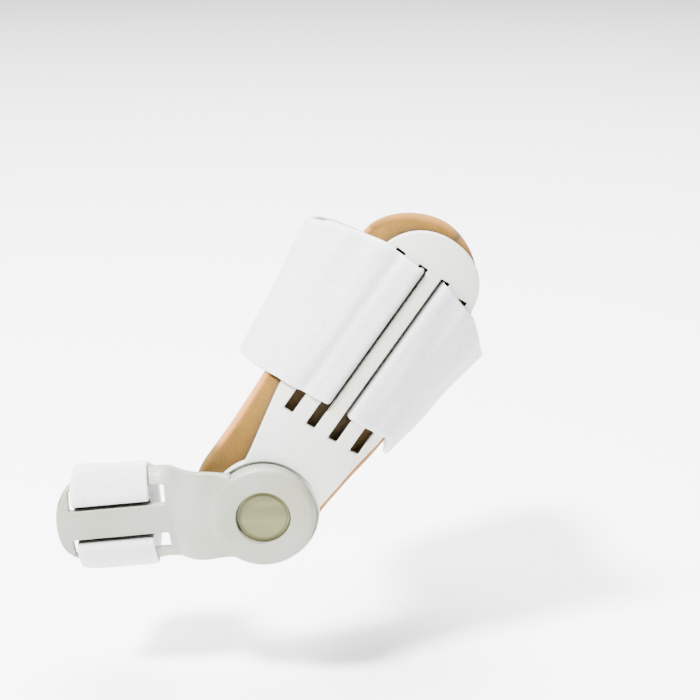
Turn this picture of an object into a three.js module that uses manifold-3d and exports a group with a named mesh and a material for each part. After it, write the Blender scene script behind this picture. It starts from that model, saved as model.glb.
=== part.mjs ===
import * as THREE from 'three';
import { mergeVertices } from 'three/addons/utils/BufferGeometryUtils.js';
import Module from 'manifold-3d';

// A hinged bunion corrector: two moulded arms on one hinge, a foam pad and two strap loops.
// Lengths are in millimetres and angles in degrees. Y is the hinge axis and runs into the loops,
// Z is up and the toe end lies towards -X. The origin is on the hinge axis, on the pad's inner face.
// Each arm is drawn with x along the arm, z across it and y through it, then turned about the hinge.

// Clearances
const CLEARANCE = 0.3;
const EDGE_CLEARANCE = 0.8;
const STRAP_CLEARANCE = 0.42;

// Spacing of the grid that curved surfaces are drawn on, and counts of steps along curves
const GRID_STEP = 3.6;
const ROUND_SIDES = 48;
const TIP_STEPS = 8;
const EDGE_STEPS = 4;
const TURN_STEPS = 4;
const STRAP_WIDTH_STEPS = 4;
const FOOT_STRAP_STEPS = 26;
const TOE_STRAP_STEPS = 24;
const FACE_STEP = 0.5;

// Pad
const PAD_THICKNESS = 4;
const PAD_RIM_THICKNESS = 1.7;
const PAD_RIM_WIDTH = 6;
const PAD_INSTEP_REACH = 24.8;
const PAD_SOLE_MARGIN = 1.5;
const PAD_TIP_MARGIN = 3.1;
const PAD_HINGE_REACH = 17.5;

// Hinge
const BOSS_RADIUS = 16.5;
const HINGE_RIM = 1.3;
const HINGE_FLOOR = 2.5;
const BOSS_HEIGHT = 6.3;
const BOSS_ROUND = 2.1;
const BOSS_FLOOR = 3.1;
const RIVET_HEAD_SHARE = 0.51;
const RIVET_HEAD_HEIGHT = 1.6;
const RIVET_SHANK_RADIUS = 3;
const RIVET_FLANGE_RADIUS = 6;
const RIVET_FLANGE_HEIGHT = 0.7;

// Foot arm, with its bends as shares of the neck
const FOOT_ARM_TURN = 54.6;
const FOOT_PLATE_THICKNESS = 2.4;
const FOOT_WEB_THICKNESS = 3.7;
const FOOT_ARM_HALF_WIDTH = 18.4;
const FOOT_ARM_CURVE = 38;
const FOOT_ARM_RECEDE = 6;
const FOOT_ARM_LEAN = 4;
const FOOT_NECK = 31.5;
const FOOT_TIP = 11.6;
const FOOT_BEND = { curlFrom: 0.45, curlTo: 1.2, recedeFrom: 0.5, thinFrom: 0.55, thinTo: 1.08 };

// Toe arm, with its bends as shares of the neck
const TOE_ARM_TURN = 185.5;
const TOE_PLATE_THICKNESS = 2.4;
const TOE_NECK_THICKNESS = 2.7;
const TOE_ARM_HALF_WIDTH = 15.5;
const TOE_ARM_CURVE = 22;
const TOE_ARM_DROP = 4.8;
const TOE_NECK = 31.4;
const TOE_TIP = 4.6;
const TOE_BEND = { curlFrom: 0.57, curlTo: 1.1, dropFrom: 0.57, dropTo: 0.92 };

// Slots, measured across the arms, and how much sooner the foot arm's outer ones end on each side
const FOOT_BAR_HALF_WIDTH = 2.5;
const FOOT_SLOT_WIDTH = 3.4;
const FOOT_OUTER_SLOT_SHORTER = { 1: 0, '-1': 2.2 };
const FOOT_SIDE_BAR_WIDTH = 5.1;
const TOE_BAR_HALF_WIDTH = 5;
const TOE_SLOT_WIDTH = 5.8;

// Straps
const STRAP_THICKNESS = 1.6;
const FOOT_STRAP_WIDTH = 51.7;
const FOOT_STRAP_SETBACK = 9.3;
const FOOT_STRAP_END_ROOM = 0.7;
const TOE_STRAP_WIDTH = 25;
const TOE_STRAP_SETBACK = 5;
const TOE_STRAP_END_ROOM = 1;

// Hollow of each strap loop at its widest: depth from the arm's front, and reach to each side
const FOOT_LOOP_DEPTH = 82;
const FOOT_LOOP_INSTEP = 37.5;
const FOOT_LOOP_SOLE = 31.8;
const TOE_LOOP_DEPTH = 27;
const TOE_LOOP_REACH = 14.4;

// Shares of those at a loop's edge near the hinge and at its far edge, how far it drifts along the arm
// behind it, and how far the edge flares along the arm on its +z and -z sides
const FOOT_LOOP = {
  near: { depth: 0.927, instep: 0.84, sole: 0.786, drift: -9.5, flareUp: -2.8, flareDown: 0 },
  far: { depth: 1, instep: 1, sole: 1, drift: -14.5, flareUp: 0, flareDown: -4.2 },
};
const TOE_LOOP = {
  near: { depth: 1, instep: 0.88, sole: 0.98, drift: 0, flareUp: 0, flareDown: 0 },
  far: { depth: 0.926, instep: 1.03, sole: 0.91, drift: 0, flareUp: 0, flareDown: 0 },
};

// Course of a loop behind the arm, as shares: depth of its depth, across of its reach to that side,
// drift of its drift along the arm. Side +1 is the arm's +z side and -1 the other.
const FOOT_COURSE = [
  { depth: 0.17, side: 1, across: 0.86, drift: 0.42 },
  { depth: 0.3, side: 1, across: 0.96, drift: 0.72 },
  { depth: 0.46, side: 1, across: 1, drift: 1 },
  { depth: 0.7, side: 1, across: 0.83, drift: 1.1 },
  { depth: 0.9, side: 1, across: 0.48, drift: 1.1 },
  { depth: 1, side: 1, across: 0, drift: 1.1 },
  { depth: 0.96, side: -1, across: 0.5, drift: 1.1 },
  { depth: 0.8, side: -1, across: 0.86, drift: 1.1 },
  { depth: 0.52, side: -1, across: 1, drift: 1.05 },
  { depth: 0.28, side: -1, across: 1, drift: 0.9 },
  { depth: 0.14, side: -1, across: 0.88, drift: 0.6 },
];
const TOE_COURSE = [
  { depth: 0.54, side: 1, across: 1.06, drift: 0 },
  { depth: 0.76, side: 1, across: 0.9, drift: 0 },
  { depth: 0.93, side: 1, across: 0.52, drift: 0 },
  { depth: 1, side: 1, across: 0, drift: 0 },
  { depth: 0.93, side: -1, across: 0.52, drift: 0 },
  { depth: 0.76, side: -1, across: 0.9, drift: 0 },
  { depth: 0.54, side: -1, across: 1.06, drift: 0 },
];

// Where a strap's under end starts and its top end stops, as shares of the course behind the arm
const FOOT_STRAP_LAP = { from: 0.34, to: 0.6, ramp: 0.08 };
const TOE_STRAP_LAP = { from: 0.36, to: 0.66, ramp: 0.08 };

// Edges of the arms: along as a share of the arm's length, plus and minus as shares of its half width
const FOOT_ARM_EDGES = [
  { along: 0.02, plus: 0.75, minus: 0.72 },
  { along: 0.107, plus: 0.8, minus: 0.74 },
  { along: 0.228, plus: 0.935, minus: 0.82 },
  { along: 0.357, plus: 1.06, minus: 0.98 },
  { along: 0.6, plus: 1.035, minus: 0.99 },
  { along: 0.82, plus: 1, minus: 0.97 },
];
const TOE_ARM_EDGES = [
  { along: 0.05, plus: 0.84, minus: 0.84 },
  { along: 0.17, plus: 0.84, minus: 0.96 },
  { along: 0.255, plus: 0.86, minus: 1.02 },
  { along: 0.4, plus: 0.94, minus: 1.03 },
  { along: 0.53, plus: 1, minus: 1 },
  { along: 0.79, plus: 1, minus: 1 },
];
const FOOT_TIP_SHAPE = { apex: 0.06, plusFullness: 2.1, minusFullness: 2.15 };
const TOE_TIP_SHAPE = { apex: 0, plusFullness: 2.4, minusFullness: 2.4 };

// Edges of the pad on the sole side: along as a share of the pad's length, out as a share of its reach
const PAD_SOLE_EDGE = [
  { along: 0.03, out: 0.8 },
  { along: 0.1, out: 0.8 },
  { along: 0.2, out: 0.85 },
  { along: 0.325, out: 0.985 },
  { along: 0.5, out: 1 },
  { along: 0.74, out: 1 },
];
const PAD_TIP_SHAPE = { apex: 0.2, instepStart: 0.83, plusFullness: 1.8, minusFullness: 1.9 };

const FINISHES = {
  arm: { color: 0xe6e8e0, roughness: 0.42, metalness: 0 },
  rivet: { color: 0xb9b596, roughness: 0.38, metalness: 0.6 },
  foam: { color: 0xd8913c, roughness: 0.92, metalness: 0 },
  strap: { color: 0xeeeef1, roughness: 0.95, metalness: 0 },
};

const ease = THREE.MathUtils.smoothstep;
const mix = THREE.MathUtils.lerp;
const wasm = await Module();
wasm.setup();

// Levels along Y, from the pad's inner face outwards
const padFrontLevel = -PAD_THICKNESS;
const footBackLevel = padFrontLevel - CLEARANCE;
const recessLevel = footBackLevel - HINGE_FLOOR;
const webFrontLevel = footBackLevel - FOOT_WEB_THICKNESS;
const bossBackLevel = recessLevel - CLEARANCE;
const bossFrontLevel = bossBackLevel - BOSS_HEIGHT;
const bossFloorLevel = bossBackLevel - BOSS_FLOOR;
const toeNeckBackLevel = webFrontLevel - CLEARANCE;
const toeNeckFrontLevel = toeNeckBackLevel - TOE_NECK_THICKNESS;

const strapOffset = STRAP_CLEARANCE + STRAP_THICKNESS / 2;
const hingeDiscRadius = BOSS_RADIUS + HINGE_RIM;
const rivetHeadRadius = RIVET_HEAD_SHARE * BOSS_RADIUS;
const shankHoleRadius = RIVET_SHANK_RADIUS + CLEARANCE;
const headHoleRadius = rivetHeadRadius + CLEARANCE;

// Reach of a cut that goes right through an arm, and the room round a slab that is cut to an outline
const cutReach = PAD_THICKNESS + BOSS_HEIGHT + FOOT_ARM_HALF_WIDTH;
const slabMargin = CLEARANCE + EDGE_CLEARANCE;

// Places along the arms
const footStrapStart = FOOT_NECK + FOOT_STRAP_SETBACK;
const footSlotEnd = footStrapStart + FOOT_STRAP_WIDTH + FOOT_STRAP_END_ROOM;
const footArmLength = footSlotEnd + FOOT_TIP;
const toeStrapStart = TOE_NECK + TOE_STRAP_SETBACK;
const toeSlotEnd = toeStrapStart + TOE_STRAP_WIDTH + TOE_STRAP_END_ROOM;
const toeArmLength = toeSlotEnd + TOE_TIP;

function solidOf(geometry) {
  const bare = geometry.clone();
  bare.deleteAttribute('normal');
  bare.deleteAttribute('uv');
  const merged = mergeVertices(bare, 1e-4);
  return new wasm.Manifold(new wasm.Mesh({
    numProp: 3,
    vertProperties: new Float32Array(merged.attributes.position.array),
    triVerts: new Uint32Array(merged.index.array),
  }));
}

function geometryOf(solid) {
  const mesh = solid.getMesh();
  const geometry = new THREE.BufferGeometry();
  geometry.setAttribute('position', new THREE.BufferAttribute(new Float32Array(mesh.vertProperties), 3));
  geometry.setIndex(new THREE.BufferAttribute(new Uint32Array(mesh.triVerts), 1));
  geometry.computeVertexNormals();
  return geometry;
}

// Closed skin over a row of rings. A ring runs along one face and back along the other,
// so its points pair up first with last, and the two end rings are capped across those pairs.
function skinOver(rings) {
  const size = rings[0].length;
  const positions = rings.flat().flatMap((point) => [point.x, point.y, point.z]);
  const triangles = [];
  const quad = (a, b, c, d) => triangles.push(a, c, b, a, d, c);
  for (let ring = 0; ring + 1 < rings.length; ring += 1) {
    for (let k = 0; k < size; k += 1) {
      const next = (k + 1) % size;
      const corners = [ring * size + k, ring * size + next, (ring + 1) * size + next, (ring + 1) * size + k];
      if (k >= size / 2) corners.push(corners.shift());
      quad(...corners);
    }
  }
  const last = (rings.length - 1) * size;
  for (let k = 0; k + 1 < size / 2; k += 1) {
    const mirror = size - 1 - k;
    quad(k, mirror, mirror - 1, k + 1);
    quad(last + k + 1, last + mirror - 1, last + mirror, last + k);
  }
  const geometry = new THREE.BufferGeometry();
  geometry.setAttribute('position', new THREE.BufferAttribute(new Float32Array(positions), 3));
  geometry.setIndex(triangles);
  return geometry;
}

// Slab between two surfaces y(x, z), over a rectangle of the arm's plane, its points on one shared grid
function slab(along, across, front, back) {
  const firstRow = Math.floor(along.from / GRID_STEP);
  const lastRow = Math.ceil(along.to / GRID_STEP);
  const firstColumn = Math.floor(across.from / GRID_STEP);
  const lastColumn = Math.ceil(across.to / GRID_STEP);
  const rings = [];
  for (let row = firstRow; row <= lastRow; row += 1) {
    const x = row * GRID_STEP;
    const columns = lastColumn - firstColumn + 1;
    const places = Array.from({ length: columns }, (_, k) => (firstColumn + k) * GRID_STEP);
    const outside = places.map((z) => new THREE.Vector3(x, front(x, z), z));
    const inside = places.map((z) => new THREE.Vector3(x, back(x, z), z));
    rings.push([...outside, ...inside.reverse()]);
  }
  return solidOf(skinOver(rings));
}

// Prism right through the arm, of an outline in its plane
function prism(points) {
  const shape = new THREE.Shape(points);
  const geometry = new THREE.ExtrudeGeometry(shape, { depth: 2 * cutReach, bevelEnabled: false });
  geometry.rotateX(Math.PI / 2);
  geometry.translate(0, cutReach, 0);
  return solidOf(geometry);
}

function cylinder(radius, from, to) {
  const geometry = new THREE.CylinderGeometry(radius, radius, to - from, ROUND_SIDES);
  geometry.translate(0, (from + to) / 2, 0);
  return solidOf(geometry);
}

function turned(profile) {
  const points = profile.map(([radius, y]) => new THREE.Vector2(radius, y));
  return solidOf(new THREE.LatheGeometry(points, ROUND_SIDES));
}

// Quarter of a superellipse that starts along x at one point and ends across x at another
function roundedEnd(start, end, fullness) {
  return Array.from({ length: TIP_STEPS + 1 }, (_, k) => {
    const angle = (k / TIP_STEPS) * (Math.PI / 2);
    const forward = Math.sin(angle) ** (2 / fullness);
    const sideways = Math.max(Math.cos(angle), 0) ** (2 / fullness);
    return new THREE.Vector2(mix(start.x, end.x, forward), mix(end.y, start.y, sideways));
  });
}

function smoothEdge(points) {
  return new THREE.SplineCurve(points).getPoints(EDGE_STEPS * (points.length - 1));
}

// Outline of an arm from its two edges and its rounded tip
function armOutline(edges, tip, length, halfWidth) {
  const edgePoints = (share) => edges.map(
    (row) => new THREE.Vector2(row.along * length, share(row) * halfWidth),
  );
  const plus = smoothEdge(edgePoints((row) => row.plus));
  const minus = smoothEdge(edgePoints((row) => -row.minus));
  const apex = new THREE.Vector2(length, tip.apex * halfWidth);
  const plusEnd = roundedEnd(plus.at(-1), apex, tip.plusFullness);
  const minusEnd = roundedEnd(minus.at(-1), apex, tip.minusFullness);
  return [...plus, ...plusEnd.slice(1), ...minusEnd.reverse().slice(1), ...minus.reverse().slice(1)];
}

// Depth of an arc of the given radius at a distance from its middle
function sagitta(radius, distance) {
  const held = Math.min(Math.abs(distance), 0.9 * radius);
  return radius - Math.sqrt(radius * radius - held * held);
}

// Bend that starts level, turns over a stretch and then rises one to one
function bendAfter(x, from, to) {
  if (x <= from) return 0;
  if (x >= to) return x - (from + to) / 2;
  return (x - from) ** 2 / (2 * (to - from));
}

// Surfaces of the foot arm: flat round the hinge, then curled round the loop and bent away
function footBack(x, z) {
  const recede = Math.tan(THREE.MathUtils.degToRad(FOOT_ARM_RECEDE));
  const bend = recede * bendAfter(x, FOOT_BEND.recedeFrom * FOOT_NECK, FOOT_NECK);
  const lean = z * Math.tan(THREE.MathUtils.degToRad(FOOT_ARM_LEAN));
  const curl = ease(x, FOOT_BEND.curlFrom * FOOT_NECK, FOOT_BEND.curlTo * FOOT_NECK);
  return footBackLevel + bend + curl * (sagitta(FOOT_ARM_CURVE, z) - lean);
}

function footFront(x, z) {
  const thinning = ease(x, FOOT_BEND.thinFrom * FOOT_NECK, FOOT_BEND.thinTo * FOOT_NECK);
  return footBack(x, z) - mix(FOOT_WEB_THICKNESS, FOOT_PLATE_THICKNESS, thinning);
}

// Surfaces of the toe arm: level at the neck, then stepped down ever more steeply to a gutter
function toeFront(x, z) {
  const place = (x / TOE_NECK - TOE_BEND.dropFrom) / (TOE_BEND.dropTo - TOE_BEND.dropFrom);
  const ramp = THREE.MathUtils.clamp(place, 0, 1);
  const curl = ease(x, TOE_BEND.curlFrom * TOE_NECK, TOE_BEND.curlTo * TOE_NECK);
  return toeNeckFrontLevel + TOE_ARM_DROP * ramp * ramp + curl * sagitta(TOE_ARM_CURVE, z);
}

function toeBack(x, z) {
  const thinning = ease(x, TOE_BEND.dropFrom * TOE_NECK, TOE_BEND.dropTo * TOE_NECK);
  return toeFront(x, z) + mix(TOE_NECK_THICKNESS, TOE_PLATE_THICKNESS, thinning);
}

// Surfaces of the pad: behind the foot arm, thinned towards its rim on the instep side
function padFront(x, z) {
  const rim = ease(z, PAD_INSTEP_REACH - PAD_RIM_WIDTH, PAD_INSTEP_REACH);
  return footBack(x, z) + CLEARANCE + rim * (PAD_THICKNESS - PAD_RIM_THICKNESS);
}

function padInner(x, z) {
  return footBack(x, z) + CLEARANCE + PAD_THICKNESS;
}

// A long slot cut straight through the arm
function slotCut(from, to, inner, width) {
  const geometry = new THREE.BoxGeometry(to - from, 2 * cutReach, width);
  geometry.translate((from + to) / 2, 0, inner + Math.sign(inner) * width / 2);
  return solidOf(geometry);
}

function footArmSolid() {
  const reach = Math.max(...FOOT_ARM_EDGES.map((row) => row.plus)) * FOOT_ARM_HALF_WIDTH + slabMargin;
  const along = { from: -hingeDiscRadius - slabMargin, to: footArmLength + slabMargin };
  const sheet = slab(along, { from: -reach, to: reach }, footFront, footBack);
  const outline = armOutline(FOOT_ARM_EDGES, FOOT_TIP_SHAPE, footArmLength, FOOT_ARM_HALF_WIDTH);
  let solid = sheet.intersect(prism(outline).add(cylinder(hingeDiscRadius, -cutReach, cutReach)));
  const recess = cylinder(BOSS_RADIUS + EDGE_CLEARANCE, webFrontLevel - slabMargin, recessLevel);
  const flangeSeat = footBackLevel - RIVET_FLANGE_HEIGHT - 2 * CLEARANCE;
  solid = solid.subtract(recess);
  solid = solid.subtract(cylinder(shankHoleRadius, -cutReach, cutReach));
  solid = solid.subtract(cylinder(RIVET_FLANGE_RADIUS + CLEARANCE, flangeSeat, padFrontLevel));
  const outer = FOOT_BAR_HALF_WIDTH + FOOT_SLOT_WIDTH + FOOT_SIDE_BAR_WIDTH;
  for (const side of [1, -1]) {
    const outerSlotEnd = footSlotEnd - FOOT_OUTER_SLOT_SHORTER[side];
    solid = solid.subtract(slotCut(FOOT_NECK, footSlotEnd, side * FOOT_BAR_HALF_WIDTH, FOOT_SLOT_WIDTH));
    solid = solid.subtract(slotCut(FOOT_NECK, outerSlotEnd, side * outer, FOOT_SLOT_WIDTH));
  }
  return solid;
}

function toeArmSolid() {
  const reach = Math.max(...TOE_ARM_EDGES.map((row) => row.minus)) * TOE_ARM_HALF_WIDTH + slabMargin;
  const along = { from: 0, to: toeArmLength + slabMargin };
  const sheet = slab(along, { from: -reach, to: reach }, toeFront, toeBack);
  const outline = armOutline(TOE_ARM_EDGES, TOE_TIP_SHAPE, toeArmLength, TOE_ARM_HALF_WIDTH);
  const plate = sheet.intersect(prism(outline));
  const corner = Array.from({ length: TURN_STEPS + 1 }, (_, k) => {
    const angle = (k / TURN_STEPS) * (Math.PI / 2);
    const out = BOSS_RADIUS - BOSS_ROUND * (1 - Math.sin(angle));
    return [out, bossFrontLevel + BOSS_ROUND * (1 - Math.cos(angle))];
  });
  const boss = turned([
    [0, bossFrontLevel],
    ...corner,
    [BOSS_RADIUS, bossBackLevel],
    [0, bossBackLevel],
  ]);
  let solid = plate.add(boss);
  solid = solid.subtract(cylinder(headHoleRadius, bossFrontLevel - slabMargin, bossFloorLevel));
  solid = solid.subtract(cylinder(shankHoleRadius, -cutReach, cutReach));
  for (const side of [1, -1]) {
    solid = solid.subtract(slotCut(TOE_NECK, toeSlotEnd, side * TOE_BAR_HALF_WIDTH, TOE_SLOT_WIDTH));
  }
  return solid;
}

// Rivet: a flat head sunk in the boss, a shank through both arms and a flange behind the foot arm
function rivetSolid() {
  const headBack = bossFloorLevel - CLEARANCE;
  const headFront = headBack - RIVET_HEAD_HEIGHT;
  const flangeBack = footBackLevel - CLEARANCE;
  const flangeFront = flangeBack - RIVET_FLANGE_HEIGHT;
  const chamfer = 0.2 * RIVET_HEAD_HEIGHT;
  return turned([
    [0, headFront],
    [rivetHeadRadius - chamfer, headFront],
    [rivetHeadRadius, headFront + chamfer],
    [rivetHeadRadius, headBack],
    [RIVET_SHANK_RADIUS, headBack],
    [RIVET_SHANK_RADIUS, flangeFront],
    [RIVET_FLANGE_RADIUS, flangeFront],
    [RIVET_FLANGE_RADIUS, flangeBack],
    [0, flangeBack],
  ]);
}

function padOutline() {
  const length = footArmLength + PAD_TIP_MARGIN;
  const soleReach = FOOT_ARM_HALF_WIDTH + PAD_SOLE_MARGIN;
  const apex = new THREE.Vector2(length, PAD_TIP_SHAPE.apex * PAD_INSTEP_REACH);
  const hingeEnd = new THREE.Vector2(-PAD_HINGE_REACH, PAD_TIP_SHAPE.apex * PAD_INSTEP_REACH);
  const instepStart = new THREE.Vector2(PAD_SOLE_EDGE[0].along * length, PAD_INSTEP_REACH);
  const instepEnd = new THREE.Vector2(PAD_TIP_SHAPE.instepStart * length, PAD_INSTEP_REACH);
  const solePoints = PAD_SOLE_EDGE.map((row) => new THREE.Vector2(row.along * length, -row.out * soleReach));
  const sole = smoothEdge(solePoints);
  const tipPlus = roundedEnd(instepEnd, apex, PAD_TIP_SHAPE.plusFullness);
  const tipMinus = roundedEnd(sole.at(-1), apex, PAD_TIP_SHAPE.minusFullness);
  const hingePlus = roundedEnd(instepStart, hingeEnd, 2);
  const hingeMinus = roundedEnd(sole[0], hingeEnd, 2);
  return [
    ...tipPlus, ...tipMinus.reverse().slice(1), ...sole.reverse().slice(1),
    ...hingeMinus.slice(1), ...hingePlus.reverse().slice(1),
  ];
}

// Pad: follows the back of the foot arm, with a shallow channel for the strap behind the middle bar
function padSolid() {
  const along = { from: -PAD_HINGE_REACH - slabMargin, to: footArmLength + PAD_TIP_MARGIN + slabMargin };
  const soleReach = FOOT_ARM_HALF_WIDTH + PAD_SOLE_MARGIN + slabMargin;
  const sheet = slab(along, { from: -soleReach, to: PAD_INSTEP_REACH + slabMargin }, padFront, padInner);
  const solid = sheet.intersect(prism(padOutline()));
  const channelAlong = {
    from: footStrapStart - EDGE_CLEARANCE,
    to: footStrapStart + FOOT_STRAP_WIDTH + EDGE_CLEARANCE,
  };
  const channelReach = FOOT_BAR_HALF_WIDTH + FOOT_SLOT_WIDTH;
  const floor = (x, z) => footBack(x, z) + STRAP_THICKNESS + 2 * STRAP_CLEARANCE;
  const above = (x, z) => footBack(x, z) - slabMargin;
  return solid.subtract(slab(channelAlong, { from: -channelReach, to: channelReach }, above, floor));
}

// Offset of a point of a section curve, square to the curve in the plane of y and z
function squareOffset(before, point, after, distance) {
  const along = new THREE.Vector2(after.y - before.y, after.z - before.z).normalize();
  return new THREE.Vector3(point.x, point.y - along.y * distance, point.z + along.x * distance);
}

// Arc in the y and z plane, at the strap's distance from a corner, between two angles from +z
function turnRound(x, corner, fromAngle, toAngle) {
  return Array.from({ length: TURN_STEPS + 1 }, (_, k) => {
    const angle = THREE.MathUtils.degToRad(mix(fromAngle, toAngle, k / TURN_STEPS));
    const y = corner.y - strapOffset * Math.sin(angle);
    return new THREE.Vector3(x, y, corner.z + strapOffset * Math.cos(angle));
  });
}

// Course of a strap from behind the middle bar, out through the slot beside the bar, to the fold in front
function throughSlot(x, arm, side) {
  const backCorner = { y: arm.back(x, side * arm.barHalfWidth), z: arm.barHalfWidth };
  const frontCorner = { y: arm.front(x, side * arm.foldEdge), z: arm.foldEdge };
  const behind = [0, 0.5].map((portion) => {
    const z = portion * arm.barHalfWidth;
    return new THREE.Vector3(x, arm.back(x, side * z) + strapOffset, z);
  });
  const course = [...behind, ...turnRound(x, backCorner, -90, 0), ...turnRound(x, frontCorner, 180, 90)];
  return course.map((point) => new THREE.Vector3(point.x, point.y, side * point.z));
}

// Smooth course over the outer bar, off the arm's edge, round the loop and back to the other bar
function roundLoop(x, share, arm, loop, course) {
  const sized = (name) => mix(loop.near[name], loop.far[name], share);
  const flared = (side, portion) => x + sized(side > 0 ? 'flareUp' : 'flareDown') * portion;
  const overBar = (side) => [0.3, 0.65, 0.9].map((portion) => {
    const place = flared(side, portion);
    const z = mix(arm.foldEdge, arm.edge(place, side), portion);
    const [before, here, after] = [z - FACE_STEP, z, z + FACE_STEP].map(
      (spot) => new THREE.Vector3(place, arm.front(place, side * spot), side * spot),
    );
    return squareOffset(before, here, after, side * strapOffset);
  });
  const offEdge = (side) => {
    const place = flared(side, 1);
    const edge = arm.edge(place, side);
    const corner = { y: arm.front(place, side * edge), z: edge };
    const turn = turnRound(place, corner, arm.arriveAngle, arm.leaveAngle).filter((_, k) => k % 2 === 0);
    const wall = arm.leaveAngle > 0 ? [] : [0.6, 1].map((portion) => new THREE.Vector3(
      place,
      mix(corner.y, arm.back(place, side * edge), portion),
      edge + strapOffset,
    ));
    return [...turn, ...wall].map((point) => new THREE.Vector3(point.x, point.y, side * point.z));
  };
  const depth = arm.loopDepth * sized('depth');
  const drift = sized('drift');
  const reachTo = (side) => arm.loopReach[side] * sized(arm.loopSide[side]);
  const behind = course.map((row) => new THREE.Vector3(
    flared(row.side, 1 - row.depth) + row.drift * drift,
    arm.front(x, 0) + row.depth * depth,
    row.side * row.across * reachTo(row.side),
  ));
  const out = [...overBar(1), ...offEdge(1)];
  const home = [...overBar(-1), ...offEdge(-1)].reverse();
  const curve = new THREE.CatmullRomCurve3([...out, ...behind, ...home], false, 'centripetal');
  const intervals = out.length + behind.length + home.length - 1;
  const place = (portion) => (out.length - 1 + portion * (behind.length + 1)) / intervals;
  return { curve, place };
}

// Strap loop as one solid: its under end starts behind, it goes round, through both slots behind the
// middle bar and round again to its top end, which laps over the under end
function strapSolid(arm, loop, course, start, width, lap, steps) {
  const columns = [];
  for (let k = 0; k <= STRAP_WIDTH_STEPS; k += 1) {
    const share = k / STRAP_WIDTH_STEPS;
    const x = start + share * width;
    const { curve, place } = roundLoop(x, share, arm, loop, course);
    const under = sampleStrap(curve, place(lap.from), 1, steps, () => 0);
    const lift = STRAP_THICKNESS + CLEARANCE;
    const rise = (t) => lift * ease(t, place(lap.from - lap.ramp), place(lap.from));
    const top = sampleStrap(curve, 0, place(lap.to), steps, rise);
    const threaded = [...throughSlot(x, arm, -1).reverse(), ...throughSlot(x, arm, 1).slice(1)];
    columns.push([...under, ...threaded, ...top]);
  }
  const rings = columns[0].map((_, i) => {
    const outer = columns.map((column) => facePoint(column, i, STRAP_THICKNESS / 2));
    const inner = columns.map((column) => facePoint(column, i, -STRAP_THICKNESS / 2));
    return [...inner, ...outer.reverse()];
  });
  return solidOf(skinOver(rings));
}

function sampleStrap(curve, from, to, count, rise) {
  return Array.from({ length: count + 1 }, (_, k) => {
    const t = mix(from, to, k / count);
    const before = curve.getPoint(Math.max(t - 0.004, 0));
    const after = curve.getPoint(Math.min(t + 0.004, 1));
    return squareOffset(before, curve.getPoint(t), after, rise(t));
  });
}

function facePoint(column, i, distance) {
  const before = column[Math.max(i - 1, 0)];
  const after = column[Math.min(i + 1, column.length - 1)];
  return squareOffset(before, column[i], after, distance);
}

// Half width of an arm at a place along it, read from its table of edges
function edgeAt(edges, length, halfWidth) {
  return (x, side) => {
    const column = side > 0 ? 'plus' : 'minus';
    const rows = edges.filter((row) => row.along * length <= x);
    const row = rows.at(-1);
    const next = edges[Math.min(rows.length, edges.length - 1)];
    const span = Math.max(next.along - row.along, 1e-6);
    const share = Math.min((x / length - row.along) / span, 1);
    return halfWidth * mix(row[column], next[column], share);
  };
}

const footArm = {
  front: footFront,
  back: footBack,
  barHalfWidth: FOOT_BAR_HALF_WIDTH,
  foldEdge: FOOT_BAR_HALF_WIDTH + 2 * strapOffset,
  arriveAngle: 62,
  leaveAngle: 38,
  loopDepth: FOOT_LOOP_DEPTH,
  loopSide: { 1: 'instep', '-1': 'sole' },
  loopReach: { 1: FOOT_LOOP_INSTEP, '-1': FOOT_LOOP_SOLE },
  edge: edgeAt(FOOT_ARM_EDGES, footArmLength, FOOT_ARM_HALF_WIDTH),
};
const toeArm = {
  front: toeFront,
  back: toeBack,
  barHalfWidth: TOE_BAR_HALF_WIDTH,
  foldEdge: TOE_BAR_HALF_WIDTH + 2 * strapOffset,
  arriveAngle: 48,
  leaveAngle: 0,
  loopDepth: TOE_LOOP_DEPTH,
  loopSide: { 1: 'sole', '-1': 'instep' },
  loopReach: { 1: TOE_LOOP_REACH, '-1': TOE_LOOP_REACH },
  edge: edgeAt(TOE_ARM_EDGES, toeArmLength, TOE_ARM_HALF_WIDTH),
};

function namedMesh(name, solid, finish) {
  const mesh = new THREE.Mesh(geometryOf(solid), new THREE.MeshStandardMaterial(finish));
  mesh.name = name;
  return mesh;
}

const footStrap = strapSolid(
  footArm, FOOT_LOOP, FOOT_COURSE, footStrapStart, FOOT_STRAP_WIDTH, FOOT_STRAP_LAP, FOOT_STRAP_STEPS,
);
const toeStrap = strapSolid(
  toeArm, TOE_LOOP, TOE_COURSE, toeStrapStart, TOE_STRAP_WIDTH, TOE_STRAP_LAP, TOE_STRAP_STEPS,
);

const footSide = new THREE.Group();
footSide.rotation.y = -THREE.MathUtils.degToRad(FOOT_ARM_TURN);
footSide.add(namedMesh('foot_arm', footArmSolid(), FINISHES.arm));
footSide.add(namedMesh('foam_pad', padSolid(), FINISHES.foam));
footSide.add(namedMesh('foot_strap', footStrap, FINISHES.strap));

const toeSide = new THREE.Group();
toeSide.rotation.y = -THREE.MathUtils.degToRad(TOE_ARM_TURN);
toeSide.add(namedMesh('toe_arm', toeArmSolid(), FINISHES.arm));
toeSide.add(namedMesh('toe_strap', toeStrap, FINISHES.strap));

const group = new THREE.Group();
group.add(footSide, toeSide, namedMesh('hinge_rivet', rivetSolid(), FINISHES.rivet));

export default group;
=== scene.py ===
"""Studio scene of a hinged bunion corrector.

Two moulded plastic arms turn on a rivet, a foam pad lies behind them, and a strap loop is threaded
through the slots of each arm. The scene's frame is the part's own: metres, +Z up, the hinge axis along
+Y, the origin on the hinge at the pad's inner face. Each arm is worked out in its own plane in
millimetres, with x along the arm, z across it and y through it, and is then turned about the hinge.
"""

from __future__ import annotations

import logging
import math
from dataclasses import dataclass, field
from enum import Enum

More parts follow.
